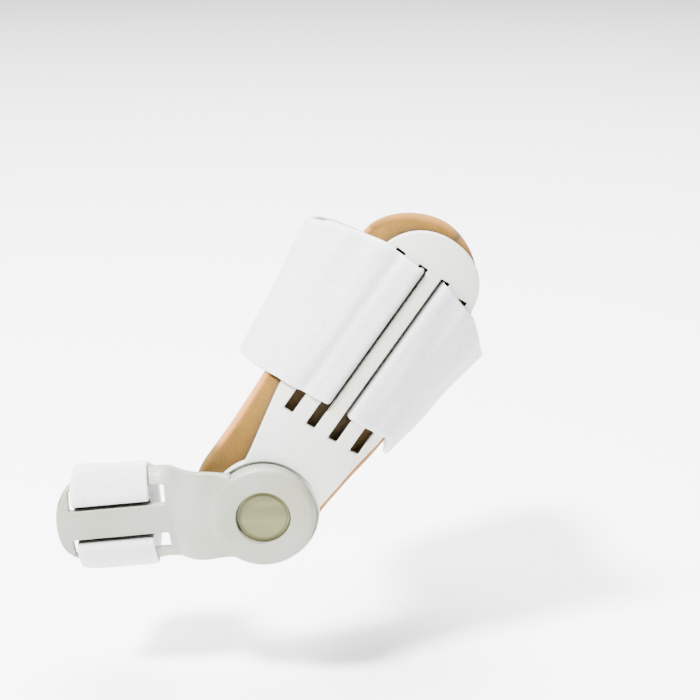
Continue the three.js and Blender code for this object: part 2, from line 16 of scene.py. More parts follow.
import bmesh
import bpy
import numpy as np
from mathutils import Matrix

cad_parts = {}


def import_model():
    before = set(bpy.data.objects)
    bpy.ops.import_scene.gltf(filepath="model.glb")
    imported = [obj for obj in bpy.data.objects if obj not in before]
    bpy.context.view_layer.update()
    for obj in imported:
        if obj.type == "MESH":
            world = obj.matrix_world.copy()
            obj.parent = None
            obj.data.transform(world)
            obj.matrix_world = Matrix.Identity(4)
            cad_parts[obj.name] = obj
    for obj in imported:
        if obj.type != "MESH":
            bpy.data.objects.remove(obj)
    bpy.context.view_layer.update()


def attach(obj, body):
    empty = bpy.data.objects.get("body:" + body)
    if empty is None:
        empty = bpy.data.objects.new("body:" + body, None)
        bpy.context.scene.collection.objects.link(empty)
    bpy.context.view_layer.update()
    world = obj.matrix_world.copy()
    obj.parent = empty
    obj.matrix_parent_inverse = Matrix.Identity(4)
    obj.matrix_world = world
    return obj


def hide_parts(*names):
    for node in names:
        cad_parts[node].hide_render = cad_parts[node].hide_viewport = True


LOG = logging.getLogger("bunion_corrector")
MM = 0.001
MERGE_DISTANCE = 2e-6
SLIVER_LENGTH = 1e-7
DOUBLED_POINT = 1e-6
SMALLEST_KNOT = 1e-4
NO_LENGTH = 1e-9
STEEPEST_SHARE = 0.9
BEVEL_SEGMENTS = 3
RELIEF_WAVES = 32

Array = np.ndarray
Socket = bpy.types.NodeSocket
Span = tuple[float, float]
Triple = tuple[float, float, float]
Colour = Triple

RISING: Span = (0.0, 1.0)
FALLING: Span = (1.0, 0.0)
MIDDLE: Span = (0.3, 0.7)


class Edge(Enum):
    """The two long edges of an arm, by the sign of z there."""

    PLUS = 1
    MINUS = -1


class Body(Enum):
    """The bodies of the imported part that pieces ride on."""

    FOOT = "foot_side"
    TOE = "toe_side"


# Curves and surfaces


def ease(x: Array, low: float, high: float) -> Array:
    """Smooth step from 0 at low to 1 at high, as three times t squared less twice t cubed."""
    t = np.clip((x - low) / (high - low), 0.0, 1.0)
    return t * t * (3.0 - 2.0 * t)


def window(x: Array, rise: Span, fall: Span) -> Array:
    """Smooth rise from 0 to 1 over one span, times a smooth fall back to 0 over another."""
    return ease(x, *rise) * (1 - ease(x, *fall))


def moved(span: Span, by: float) -> Span:
    """The span moved along by that much."""
    return span[0] + by, span[1] + by


def mix(a: Array, b: Array, t: Array) -> Array:
    """Straight mix of a and b."""
    return a + (b - a) * t


def sagitta(radius: float, distance: Array) -> Array:
    """Depth of an arc of that radius at a distance from its middle, held where the arc grows steep."""
    held = np.minimum(np.abs(distance), STEEPEST_SHARE * radius)
    return radius - np.sqrt(radius * radius - held * held)


def bend_after(x: Array, start: float, end: float) -> Array:
    """Level up to start, a parabola up to end, and one to one after it."""
    turning = (np.clip(x, start, end) - start) ** 2 / (2.0 * (end - start))
    return turning + np.maximum(x - end, 0.0)


def cubic_weights(t: Array) -> tuple[Array, Array, Array, Array]:
    """Weights of a cubic's start, start slope, end and end slope, at the share t of its span."""
    return 2 * t**3 - 3 * t**2 + 1, t**3 - 2 * t**2 + t, 3 * t**2 - 2 * t**3, t**3 - t**2


def table_curve(table: Array, x: Array) -> Array:
    """Smooth curve through a table's (x, value) rows.

    Each span is a cubic whose end slopes are those of the lines between the neighbouring rows.

    Args:
        table: Rows of x and value, x rising.
        x: Places to read, held to the table's ends.

    Returns:
        The values at x.
    """
    xs, ys = table[:, 0], table[:, 1]
    slopes = np.gradient(ys, xs)
    held = np.clip(x, xs[0], xs[-1])
    k = np.clip(np.searchsorted(xs, held, side="right") - 1, 0, len(xs) - 2)
    span = xs[k + 1] - xs[k]
    a, rise, b, fall = cubic_weights((held - xs[k]) / span)
    return a * ys[k] + rise * span * slopes[k] + b * ys[k + 1] + fall * span * slopes[k + 1]


def rounded_end(start: Array, apex: Array, fullness: float, angle: Array) -> Array:
    """Quarter of a superellipse that starts along x at one point and ends across x at its apex.

    Args:
        start: The (x, z) where it leaves the straight edge.
        apex: The (x, z) of its tip.
        fullness: The superellipse's power, 2 for an ellipse.
        angle: Angles from 0 at start to a right angle at the apex.

    Returns:
        Points of the curve, one row each.
    """
    forward = np.sin(angle) ** (2.0 / fullness)
    sideways = np.maximum(np.cos(angle), 0.0) ** (2.0 / fullness)
    return np.stack([mix(start[0], apex[0], forward), mix(apex[1], start[1], sideways)], -1)


def coons(bottom: Array, top: Array, left: Array, right: Array, across: Array) -> Array:
    """Patch between four edge curves.

    The patch is the ruled surface between bottom and top, plus the one between left and right, less the
    bilinear one through the four corners.

    Args:
        bottom: Points of the first row.
        top: Points of the last row.
        left: Points of the first column, one for each row.
        right: Points of the last column, one for each row.
        across: Share of the way across of each column.

    Returns:
        Points by row and column.
    """
    t = np.linspace(0.0, 1.0, len(left))[:, None, None]
    s = across[None, :, None]
    rows = mix(bottom[None], top[None], t)
    columns = mix(left[:, None], right[:, None], s)
    corners = mix(mix(bottom[0], bottom[-1], s), mix(top[0], top[-1], s), t)
    return rows + columns - corners


def catmull(points: Array, places: Array) -> Array:
    """Centripetal spline through rows of points.

    Knots are spaced by the square root of the distance between points, and each span is the cubic with
    the spline's slopes at its two ends.

    Args:
        points: Control points by row and column, (rows, columns, 3).
        places: Places along the rows, from 0 to rows less 1.

    Returns:
        Points by place and column.
    """
    first = 2 * points[:1] - points[1:2]
    last = 2 * points[-1:] - points[-2:-1]
    padded = np.concatenate([first, points, last])
    gaps = np.linalg.norm(np.diff(padded, axis=0), axis=-1)[..., None] ** 0.5
    gaps = np.maximum(gaps, SMALLEST_KNOT)
    k = np.clip(np.floor(places).astype(int), 0, len(points) - 2)
    t = (places - k)[:, None, None]
    p0, p1, p2, p3 = (padded[k + n] for n in range(4))
    d0, d1, d2 = (gaps[k + n] for n in range(3))
    slope1 = ((p1 - p0) / d0 - (p2 - p0) / (d0 + d1) + (p2 - p1) / d1) * d1
    slope2 = ((p2 - p1) / d1 - (p3 - p1) / (d1 + d2) + (p3 - p2) / d2) * d1
    a, rise, b, fall = cubic_weights(t)
    return a * p1 + rise * slope1 + b * p2 + fall * slope2


def ripple(u: Array, v: Array, shortest: float, longest: float, stretch: float, seed: int) -> Array:
    """Soft uneven relief over a surface.

    The sum of RELIEF_WAVES cosine waves of random length, direction and phase, scaled to about one, with v
    counted as stretch times shorter than u.

    Args:
        u: Distance along the surface, in millimetres.
        v: Distance across it, in millimetres.
        shortest: Shortest wavelength.
        longest: Longest wavelength.
        stretch: How much longer the forms are across than along.
        seed: Seed of the waves.

    Returns:
        Heights of about -1 to 1.
    """
    rng = np.random.default_rng(seed)
    total = np.zeros(np.broadcast(u, v).shape)
    for _ in range(RELIEF_WAVES):
        length = rng.uniform(shortest, longest)
        angle = rng.uniform(0, math.pi)
        phase = rng.uniform(0, 2 * math.pi)
        pull = 2 * math.pi / length
        total += np.cos(pull * (math.cos(angle) * u + math.sin(angle) * v / stretch) + phase)
    return total / (RELIEF_WAVES / 4)


# Meshes


@dataclass(frozen=True)
class Turn:
    """Turn of an arm about the hinge, from its own plane to the part's frame."""

    degrees: float

    def place(self, points: Array) -> Array:
        """Points in metres: x and z turned about the hinge by the angle, y kept.

        Args:
            points: Points in the arm's own plane, in millimetres.

        Returns:
            Points in the part's frame, in metres.
        """
        angle = math.radians(self.degrees)
        x, y, z = points[..., 0], points[..., 1], points[..., 2]
        turned = [
            x * math.cos(angle) - z * math.sin(angle),
            y,
            x * math.sin(angle) + z * math.cos(angle),
        ]
        return np.stack(turned, -1) * MM

    def plane(self, points: Array) -> Array:
        """Points in millimetres in the arm's own plane, turned back by the angle.

        Args:
            points: Points in the part's frame, in metres.

        Returns:
            Points in the arm's own plane, in millimetres.
        """
        angle = math.radians(-self.degrees)
        x = (points[..., 0] * math.cos(angle) - points[..., 2] * math.sin(angle)) / MM
        z = (points[..., 0] * math.sin(angle) + points[..., 2] * math.cos(angle)) / MM
        return np.stack([x, points[..., 1] / MM, z], -1)


def grid_faces(rows: int, columns: int, keep: Array | None = None, start: int = 0) -> Array:
    """Quads of a grid whose points are numbered row by row.

    Args:
        rows: Rows of points.
        columns: Points in a row.
        keep: Which cells to keep, or None for all.
        start: Number of the first point.

    Returns:
        Four point numbers for each kept cell.
    """
    r, c = np.meshgrid(np.arange(rows - 1), np.arange(columns - 1), indexing="ij")
    first = start + r * columns + c
    quads = np.stack([first, first + 1, first + columns + 1, first + columns], -1)
    return quads.reshape(-1, 4) if keep is None else quads[keep]


def shell(front: Array, back: Array, keep: Array) -> tuple[Array, Array]:
    """Closed shell between two grids of points, with walls round the kept cells.

    A wall stands on each grid line between a kept cell and one that is left out.

    Args:
        front: Points of one face, by row and column.
        back: Points of the other face.
        keep: Which cells of the grid are kept.

    Returns:
        Points and quads.
    """
    rows, columns = front.shape[:2]
    count = rows * columns
    faces = [grid_faces(rows, columns, keep), grid_faces(rows, columns, keep, count)[:, ::-1]]
    ringed = np.pad(keep, 1)
    along_row = ringed[1:, 1:-1] != ringed[:-1, 1:-1]
    along_column = ringed[1:-1, 1:] != ringed[1:-1, :-1]
    r, c = np.nonzero(along_row)
    a, b = r * columns + c, r * columns + c + 1
    faces.append(np.stack([a, b, b + count, a + count], -1))
    r, c = np.nonzero(along_column)
    a, b = r * columns + c, (r + 1) * columns + c
    faces.append(np.stack([a, b, b + count, a + count], -1))
    points = np.concatenate([front.reshape(-1, 3), back.reshape(-1, 3)])
    quads = np.concatenate(faces)
    used, renumbered = np.unique(quads, return_inverse=True)
    return points[used], renumbered.reshape(-1, 4)


def lathe(profile: Array, sides: int) -> tuple[Array, Array]:
    """Ring of revolution about the hinge axis.

    Point (r, y) of the closed profile at angle a goes to (r cos a, y, r sin a).

    Args:
        profile: Rows of radius and y, in order round the section.
        sides: Steps of the turn.

    Returns:
        Points and quads.
    """
    angle = np.linspace(0, 2 * math.pi, sides, endpoint=False)[:, None]
    ring = np.concatenate([profile, profile[:1]])
    x = ring[:, 0] * np.cos(angle)
    y = np.broadcast_to(ring[:, 1], x.shape)
    z = ring[:, 0] * np.sin(angle)
    points = np.stack([x, y, z], -1)
    points = np.concatenate([points, points[:1]])
    return points.reshape(-1, 3), grid_faces(sides + 1, len(ring))


def rounded_profile(corners: list[Triple], steps: int = 6) -> Array:
    """Closed section with rounded corners.

    Each corner is the quadratic curve from the point its radius before it to the point its radius
    after it, with the corner itself as the middle control point.

    Args:
        corners: Rows of radius from the axis, y, and rounding.
        steps: Points on each rounding.

    Returns:
        Rows of radius and y.
    """
    points = np.array([row[:2] for row in corners], float)
    radii = np.array([row[2] for row in corners], float)[:, None]
    before = np.roll(points, 1, 0) - points
    after = np.roll(points, -1, 0) - points
    start = points + before / np.linalg.norm(before, axis=1, keepdims=True) * radii
    end = points + after / np.linalg.norm(after, axis=1, keepdims=True) * radii
    t = np.linspace(0, 1, steps)[None, :, None]
    curve = (1 - t) ** 2 * start[:, None] + 2 * t * (1 - t) * points[:, None] + t**2 * end[:, None]
    sharp = radii[:, :1] <= 0
    return np.concatenate([curve[k, :1] if sharp[k, 0] else curve[k] for k in range(len(points))])


def mesh_object(name: str, parts: list[tuple[Array, Array]], **layers: Array) -> bpy.types.Object:
    """One object from closed surfaces, its doubled points merged and its faces pointing out.

    Args:
        name: The piece's name.
        parts: Points in metres and quads of each surface.
        layers: Vectors for each point, each kept as an attribute of that name.

    Returns:
        The object, at the origin.
    """
    starts = np.cumsum([0] + [len(points) for points, _ in parts[:-1]])
    points = np.concatenate([points for points, _ in parts])
    quads = np.concatenate([quads + start for (_, quads), start in zip(parts, starts)])
    mesh = bpy.data.meshes.new(name)
    mesh.from_pydata(points.tolist(), [], quads.tolist())
    for label, values in layers.items():
        layer = mesh.attributes.new(label, "FLOAT_VECTOR", "POINT")
        layer.data.foreach_set("vector", values.astype(np.float32).ravel())
    work = bmesh.new()
    work.from_mesh(mesh)
    bmesh.ops.remove_doubles(work, verts=work.verts, dist=MERGE_DISTANCE)
    bmesh.ops.dissolve_degenerate(work, edges=work.edges, dist=SLIVER_LENGTH)
    bmesh.ops.recalc_face_normals(work, faces=work.faces)
    work.to_mesh(mesh)
    work.free()
    mesh.polygons.foreach_set("use_smooth", np.ones(len(mesh.polygons), bool))
    made = bpy.data.objects.new(name, mesh)
    bpy.context.scene.collection.objects.link(made)
    return made


def round_edges(made: bpy.types.Object, width: float, angle: float = 50.0) -> None:
    """Round the sharp edges of a piece.

    Args:
        made: The piece.
        width: Width of the rounding, in millimetres.
        angle: Edges sharper than this many degrees are rounded.
    """
    bevel = made.modifiers.new("rounded_edges", "BEVEL")
    bevel.width = width * MM
    bevel.segments = BEVEL_SEGMENTS
    bevel.limit_method = "ANGLE"
    bevel.angle_limit = math.radians(angle)
    bevel.use_clamp_overlap = False
    bevel.harden_normals = True


# Finishes


class Nodes:
    """Short way to lay out the nodes of one material."""

    def __init__(self, name: str) -> None:
        """Start a material with a bare principled shader.

        Args:
            name: The material's name.
        """
        self.material = bpy.data.materials.new(name)
        self.material.use_nodes = True
        self.tree = self.material.node_tree
        self.shader = self.tree.nodes["Principled BSDF"]

    def add(self, kind: str, **values: object) -> bpy.types.Node:
        """A node of that kind, with its properties or input values set by name.

        Args:
            kind: The node's type name.
            values: Properties and input values, by name with _ for each space.

        Returns:
            The node.
        """
        node = self.tree.nodes.new(kind)
        for key, value in values.items():
            if hasattr(node, key):
                setattr(node, key, value)
            else:
                node.inputs[key.replace("_", " ")].default_value = value
        return node

    def link(self, output: Socket, target: Socket) -> None:
        """Join an output to an input."""
        self.tree.links.new(output, target)

    def give(self, value: object, target: Socket) -> None:
        """Join a socket to an input, or set the input to a colour or a number.

        Args:
            value: A socket, a colour or a number.
            target: The input.
        """
        if isinstance(value, Socket):
            self.link(value, target)
        elif isinstance(value, tuple):
            target.default_value = (*value, 1.0)
        else:
            target.default_value = value

    def place(self, scale: Triple = (1.0, 1.0, 1.0)) -> Socket:
        """Object coordinates in metres, scaled along each axis.

        Args:
            scale: Factor along each axis.

        Returns:
            The coordinates.
        """
        source = self.add("ShaderNodeTexCoord")
        mapping = self.add("ShaderNodeMapping", Scale=scale)
        self.link(source.outputs["Object"], mapping.inputs["Vector"])
        return mapping.outputs["Vector"]

    def noise(self, where: Socket, scale: float, detail: float = 2.0) -> Socket:
        """Noise of that many forms a metre.

        Args:
            where: Places to read it at.
            scale: Forms a metre.
            detail: Octaves of finer forms.

        Returns:
            Its value, about 0.5 on the whole.
        """
        node = self.add("ShaderNodeTexNoise", Scale=scale, Detail=detail)
        self.link(where, node.inputs["Vector"])
        return node.outputs["Fac"]

    def cells(self, where: Socket, scale: float, **values: object) -> Socket:
        """Distance from the nearest of scattered points, that many of them a metre.

        Args:
            where: Places to read it at.
            scale: Points a metre.
            values: Other values of the node.

        Returns:
            The distance, as a share of the spacing.
        """
        node = self.add("ShaderNodeTexVoronoi", feature="F1", **values)
        node.inputs["Scale"].default_value = scale
        self.link(where, node.inputs["Vector"])
        return node.outputs["Distance"]

    def ramp(self, source: Socket, span: Span, to: Span = RISING) -> Socket:
        """Source between the ends of the span carried over to the range to.

        Args:
            source: The value to carry over.
            span: Its low and high end.
            to: What they become.

        Returns:
            The value, held to the range.
        """
        node = self.add("ShaderNodeMapRange", From_Min=span[0], From_Max=span[1], To_Min=to[0], To_Max=to[1])
        self.link(source, node.inputs["Value"])
        return node.outputs["Result"]

    def math(self, operation: str, a: object, b: object) -> Socket:
        """One step of arithmetic on sockets or numbers.

        Args:
            operation: The step's name in capitals.
            a: First socket or number.
            b: Second one.

        Returns:
            The result.
        """
        node = self.add("ShaderNodeMath", operation=operation)
        self.give(a, node.inputs[0])
        self.give(b, node.inputs[1])
        return node.outputs[0]

    def tint(self, share: Socket, a: object, b: object) -> Socket:
        """Colour between a and b, each a colour or a socket, by share.

        Args:
            share: How far from a to b.
            a: Colour at 0.
            b: Colour at 1.

        Returns:
            The colour.
        """
        node = self.add("ShaderNodeMix", data_type="RGBA")
        for value, target in zip((a, b), [socket for socket in node.inputs if socket.type == "RGBA"]):
            self.give(value, target)
        self.link(share, node.inputs["Factor"])
        return next(socket for socket in node.outputs if socket.type == "RGBA")

    def attribute(self, label: str) -> Socket:
        """Vectors of an attribute."""
        return self.add("ShaderNodeAttribute", attribute_name=label).outputs["Vector"]

    def parts_of(self, label: str) -> bpy.types.Node:
        """Node whose outputs X, Y and Z are those of an attribute.

        Args:
            label: The attribute's name.

        Returns:
            The node.
        """
        parts = self.add("ShaderNodeSeparateXYZ")
        self.link(self.attribute(label), parts.inputs["Vector"])
        return parts

    def bump(self, height: Socket, strength: float, depth: float) -> None:
        """Relief of the shader's surface, depth in millimetres.

        Args:
            height: Height, 1 for the full depth.
            strength: Share of the effect.
            depth: Depth of the relief, in millimetres.
        """
        node = self.add("ShaderNodeBump", Strength=strength, Distance=depth * MM)
        self.link(height, node.inputs["Height"])
        self.link(node.outputs["Normal"], self.shader.inputs["Normal"])

    def feed(self, source: Socket, name: str) -> None:
        """Join a socket to the shader's input of that name."""
        self.link(source, self.shader.inputs[name])

    def fix(self, **values: object) -> None:
        """Set inputs of the shader, by name with _ for each space."""
        for key, value in values.items():
            self.shader.inputs[key.replace("_", " ")].default_value = value


@dataclass(frozen=True)
class MouldedPlastic:
    """Off-white moulded plastic: a satin skin with a faint grain and a slow drift of tone.

    Where the attribute stipple is 1, it is covered with small raised dots. Scales are forms a metre.
    """

    name: str
    cool: Colour
    warm: Colour
    hollow: Colour = (0.520, 0.520, 0.440)
    drift_scale: float = 48.0
    drift_span: Span = (0.36, 0.66)
    gloss_scale: float = 240.0
    roughness: Span = (0.36, 0.46)
    grain_scale: float = 2600.0
    grain_height: float = 0.15
    dot_scale: float = 1250.0
    dot_span: Span = (0.15, 0.55)
    relief: float = 0.12
    glow: float = 0.08
    glow_reach: Triple = (0.0012, 0.0011, 0.0009)
    shine: float = 0.42

    def material(self) -> bpy.types.Material:
        """Material with tone drift over some 20 mm and grain of about 0.4 mm.

        Returns:
            The material.
        """
        nodes = Nodes(self.name)
        where = nodes.place()
        drift = nodes.ramp(nodes.noise(where, self.drift_scale, 1.0), self.drift_span)
        plain = nodes.tint(drift, self.cool, self.warm)
        stipple = nodes.parts_of("stipple").outputs["X"]
        raised = nodes.ramp(nodes.cells(where, self.dot_scale), self.dot_span, FALLING)
        dotted = nodes.tint(raised, self.hollow, self.warm)
        nodes.feed(nodes.tint(stipple, plain, dotted), "Base Color")
        nodes.feed(nodes.ramp(nodes.noise(where, self.gloss_scale), MIDDLE, self.roughness), "Roughness")
        grain = nodes.math("MULTIPLY", nodes.noise(where, self.grain_scale, 1.0), self.grain_height)
        dots = nodes.math("MULTIPLY", raised, stipple)
        nodes.bump(nodes.math("ADD", grain, dots), strength=0.5, depth=self.relief)
        nodes.fix(Subsurface_Weight=self.glow, Subsurface_Radius=self.glow_reach)
        nodes.fix(Specular_IOR_Level=self.shine)
        return nodes.material


@dataclass(frozen=True)
class ChampagneCap:
    """Champagne metal cap, brushed one way, with brush lines, and wider light and dark bands long along X
    painted in as reflection.
    """

    # Light and dark colours of the painted reflection bands.
    light: Colour = (0.108, 0.107, 0.034)
    dark: Colour = (0.070, 0.071, 0.021)
    line_stretch: Triple = (0.03, 1.0, 1.0)
    line_scale: float = 2400.0
    line_relief: float = 0.03
    # Stretch and scale of the painted reflection bands.
    band_stretch: Triple = (0.12, 1.0, 1.0)
    band_scale: float = 260.0
    roughness: Span = (0.34, 0.52)

    def material(self) -> bpy.types.Material:
        """Material with fine level lines, some 0.4 mm apart across and long along X.

        Returns:
            The material.
        """
        nodes = Nodes("champagne_cap")
        lines = nodes.noise(nodes.place(self.line_stretch), self.line_scale, 3.0)
        painted_reflection_bands = nodes.noise(nodes.place(self.band_stretch), self.band_scale, 1.0)
        # Painted reflection: the base colour goes between light and dark in wide bands along X.
        nodes.feed(nodes.tint(nodes.ramp(painted_reflection_bands, MIDDLE), self.light, self.dark), "Base Color")
        nodes.feed(nodes.ramp(lines, MIDDLE, self.roughness), "Roughness")
        nodes.bump(lines, strength=0.2, depth=self.line_relief)
        nodes.fix(Metallic=0.15)
        return nodes.material


@dataclass(frozen=True)
class TanFoam:
    """Tan foam with open pores, with painted shade beside and under the arm and paler along its rim.

    Its point attribute holds the painted shade of a place in x and how pale it is in y.
    """

    light: Colour = (0.160, 0.080, 0.0090)
    deep: Colour = (0.110, 0.053, 0.0055)
    # The rim's paler tone, also used as painted light under the outer slots near the hinge.
    pale: Colour = (0.400, 0.165, 0.043)
    # Colour of the painted shade.
    painted_shade: Colour = (0.050, 0.036, 0.018)
    pore_scale: float = 1500.0
    pore_span: Span = (0.15, 0.75)
    pore_share: float = 0.35
    mottle_scale: float = 160.0
    mottle_range: Span = (0.0, 0.6)
    relief: float = 0.12

    def material(self) -> bpy.types.Material:
        """Material with pores of about 0.5 mm and a mottled tone.

        Returns:
            The material.
        """
        nodes = Nodes("tan_foam")
        where = nodes.place()
        pores = nodes.ramp(nodes.cells(where, self.pore_scale), self.pore_span, FALLING)
        mottle = nodes.noise(where, self.mottle_scale, 4.0)
        spots = nodes.math("MULTIPLY", pores, self.pore_share)
        tone = nodes.math("ADD", nodes.ramp(mottle, MIDDLE, self.mottle_range), spots)
        wear = nodes.parts_of("wear")
        plain = nodes.tint(tone, self.light, self.deep)
        # Paler by y: along the rim, and painted light under the outer slots near the hinge.
        rimmed = nodes.tint(wear.outputs["Y"], plain, self.pale)
        # Darker by x: painted shade under the slots' open ends, beside the arm and towards the hinge.
        nodes.feed(nodes.tint(wear.outputs["X"], rimmed, self.painted_shade), "Base Color")
        nodes.bump(nodes.math("SUBTRACT", mottle, pores), strength=0.5, depth=self.relief)
        nodes.fix(Roughness=0.9, Sheen_Weight=0.1, Specular_IOR_Level=0.2)
        return nodes.material


@dataclass(frozen=True)
class LoopCloth:
    """White brushed loop fabric with a flat woven edge, laid out on the attribute weave.

    The attribute weave holds the place along the strap, across it, and from its nearer edge. The first
    part of the other point attribute is painted shade, dark where the cloth turns in a slot.
    """

    light: Colour = (0.600, 0.602, 0.608)
    shade: Colour = (0.480, 0.484, 0.488)
    # Colour of the painted shade where the cloth turns in a slot.
    inside: Colour = (0.085, 0.085, 0.078)
    loop_pitch: float = 0.75
    loop_span: Span = (0.05, 0.75)
    loop_height: float = 0.55
    nap_scale: float = 420.0
    nap_height: float = 0.9
    rib_pitch: float = 0.5
    rib_height: float = 0.12
    selvage: float = 1.6
    selvage_blend: Span = (0.7, 1.3)
    tone_span: Span = (0.15, 0.75)
    relief: float = 0.22

    def material(self) -> bpy.types.Material:
        """Material with loops in rows a pitch apart, fading to ribs at the selvage.

        Returns:
            The material.
        """
        nodes = Nodes("loop_cloth")
        where = nodes.attribute("weave")
        parts = nodes.parts_of("weave")
        cells = nodes.cells(where, 1000.0 / self.loop_pitch, voronoi_dimensions="2D", Randomness=0.75)
        loops = nodes.ramp(cells, self.loop_span, FALLING)
        nap = nodes.noise(where, self.nap_scale, 4.0)
        start, end = (self.selvage * share * MM for share in self.selvage_blend)
        pile = nodes.ramp(parts.outputs["Z"], (start, end))
        flat = nodes.math("SUBTRACT", 1.0, pile)
        turns = nodes.math("MULTIPLY", parts.outputs["Y"], 2 * math.pi / (self.rib_pitch * MM))
        ribs = nodes.math("MULTIPLY", nodes.math("SINE", turns, 0.0), self.rib_height)
        raised = nodes.math(
            "ADD",
            nodes.math("MULTIPLY", loops, self.loop_height),
            nodes.math("MULTIPLY", nap, self.nap_height),
        )
        height = nodes.math("ADD", nodes.math("MULTIPLY", raised, pile), nodes.math("MULTIPLY", ribs, flat))
        mean = nodes.math("MULTIPLY", nodes.math("ADD", loops, nap), 0.5)
        tone = nodes.math("MULTIPLY", nodes.ramp(mean, self.tone_span, FALLING), pile)
        cloth = nodes.tint(tone, self.light, self.shade)
        # Painted shade: dark where the cloth turns in a slot, by the attribute's first part.
        nodes.feed(nodes.tint(nodes.parts_of("wear").outputs["X"], cloth, self.inside), "Base Color")
        nodes.bump(height, strength=0.6, depth=self.relief)
        nodes.fix(Roughness=0.95, Sheen_Weight=0.25, Specular_IOR_Level=0.15)
        return nodes.material


@dataclass(frozen=True)
class PaleFloor:
    """Plain pale studio floor."""

    colour: Colour = (0.93, 0.93, 0.93)
    grain_colour: Colour = (0.85, 0.85, 0.85)
    grain_scale: float = 30.0
    grain_range: Span = (0.0, 0.05)

    def material(self) -> bpy.types.Material:
        """Material with one plain tone and a trace of grain.

        Returns:
            The material.
        """
        nodes = Nodes("pale_floor")
        grain = nodes.ramp(nodes.noise(nodes.place(), self.grain_scale), RISING, self.grain_range)
        nodes.feed(nodes.tint(grain, self.colour, self.grain_colour), "Base Color")
        nodes.fix(Roughness=0.9, Specular_IOR_Level=0.1)
        return nodes.material


def dress(made: bpy.types.Object, material: bpy.types.Material, body: Body, slot: str, *nodes: str) -> None:
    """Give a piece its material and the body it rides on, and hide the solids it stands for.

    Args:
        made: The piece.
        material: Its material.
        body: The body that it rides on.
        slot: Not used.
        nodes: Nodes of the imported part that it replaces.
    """
    made.data.materials.append(material)
    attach(made, body.value)
    if nodes:
        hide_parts(*nodes)
    LOG.info("%s: %d faces, rides on %s", made.name, len(made.data.polygons), body.value)


# The arms


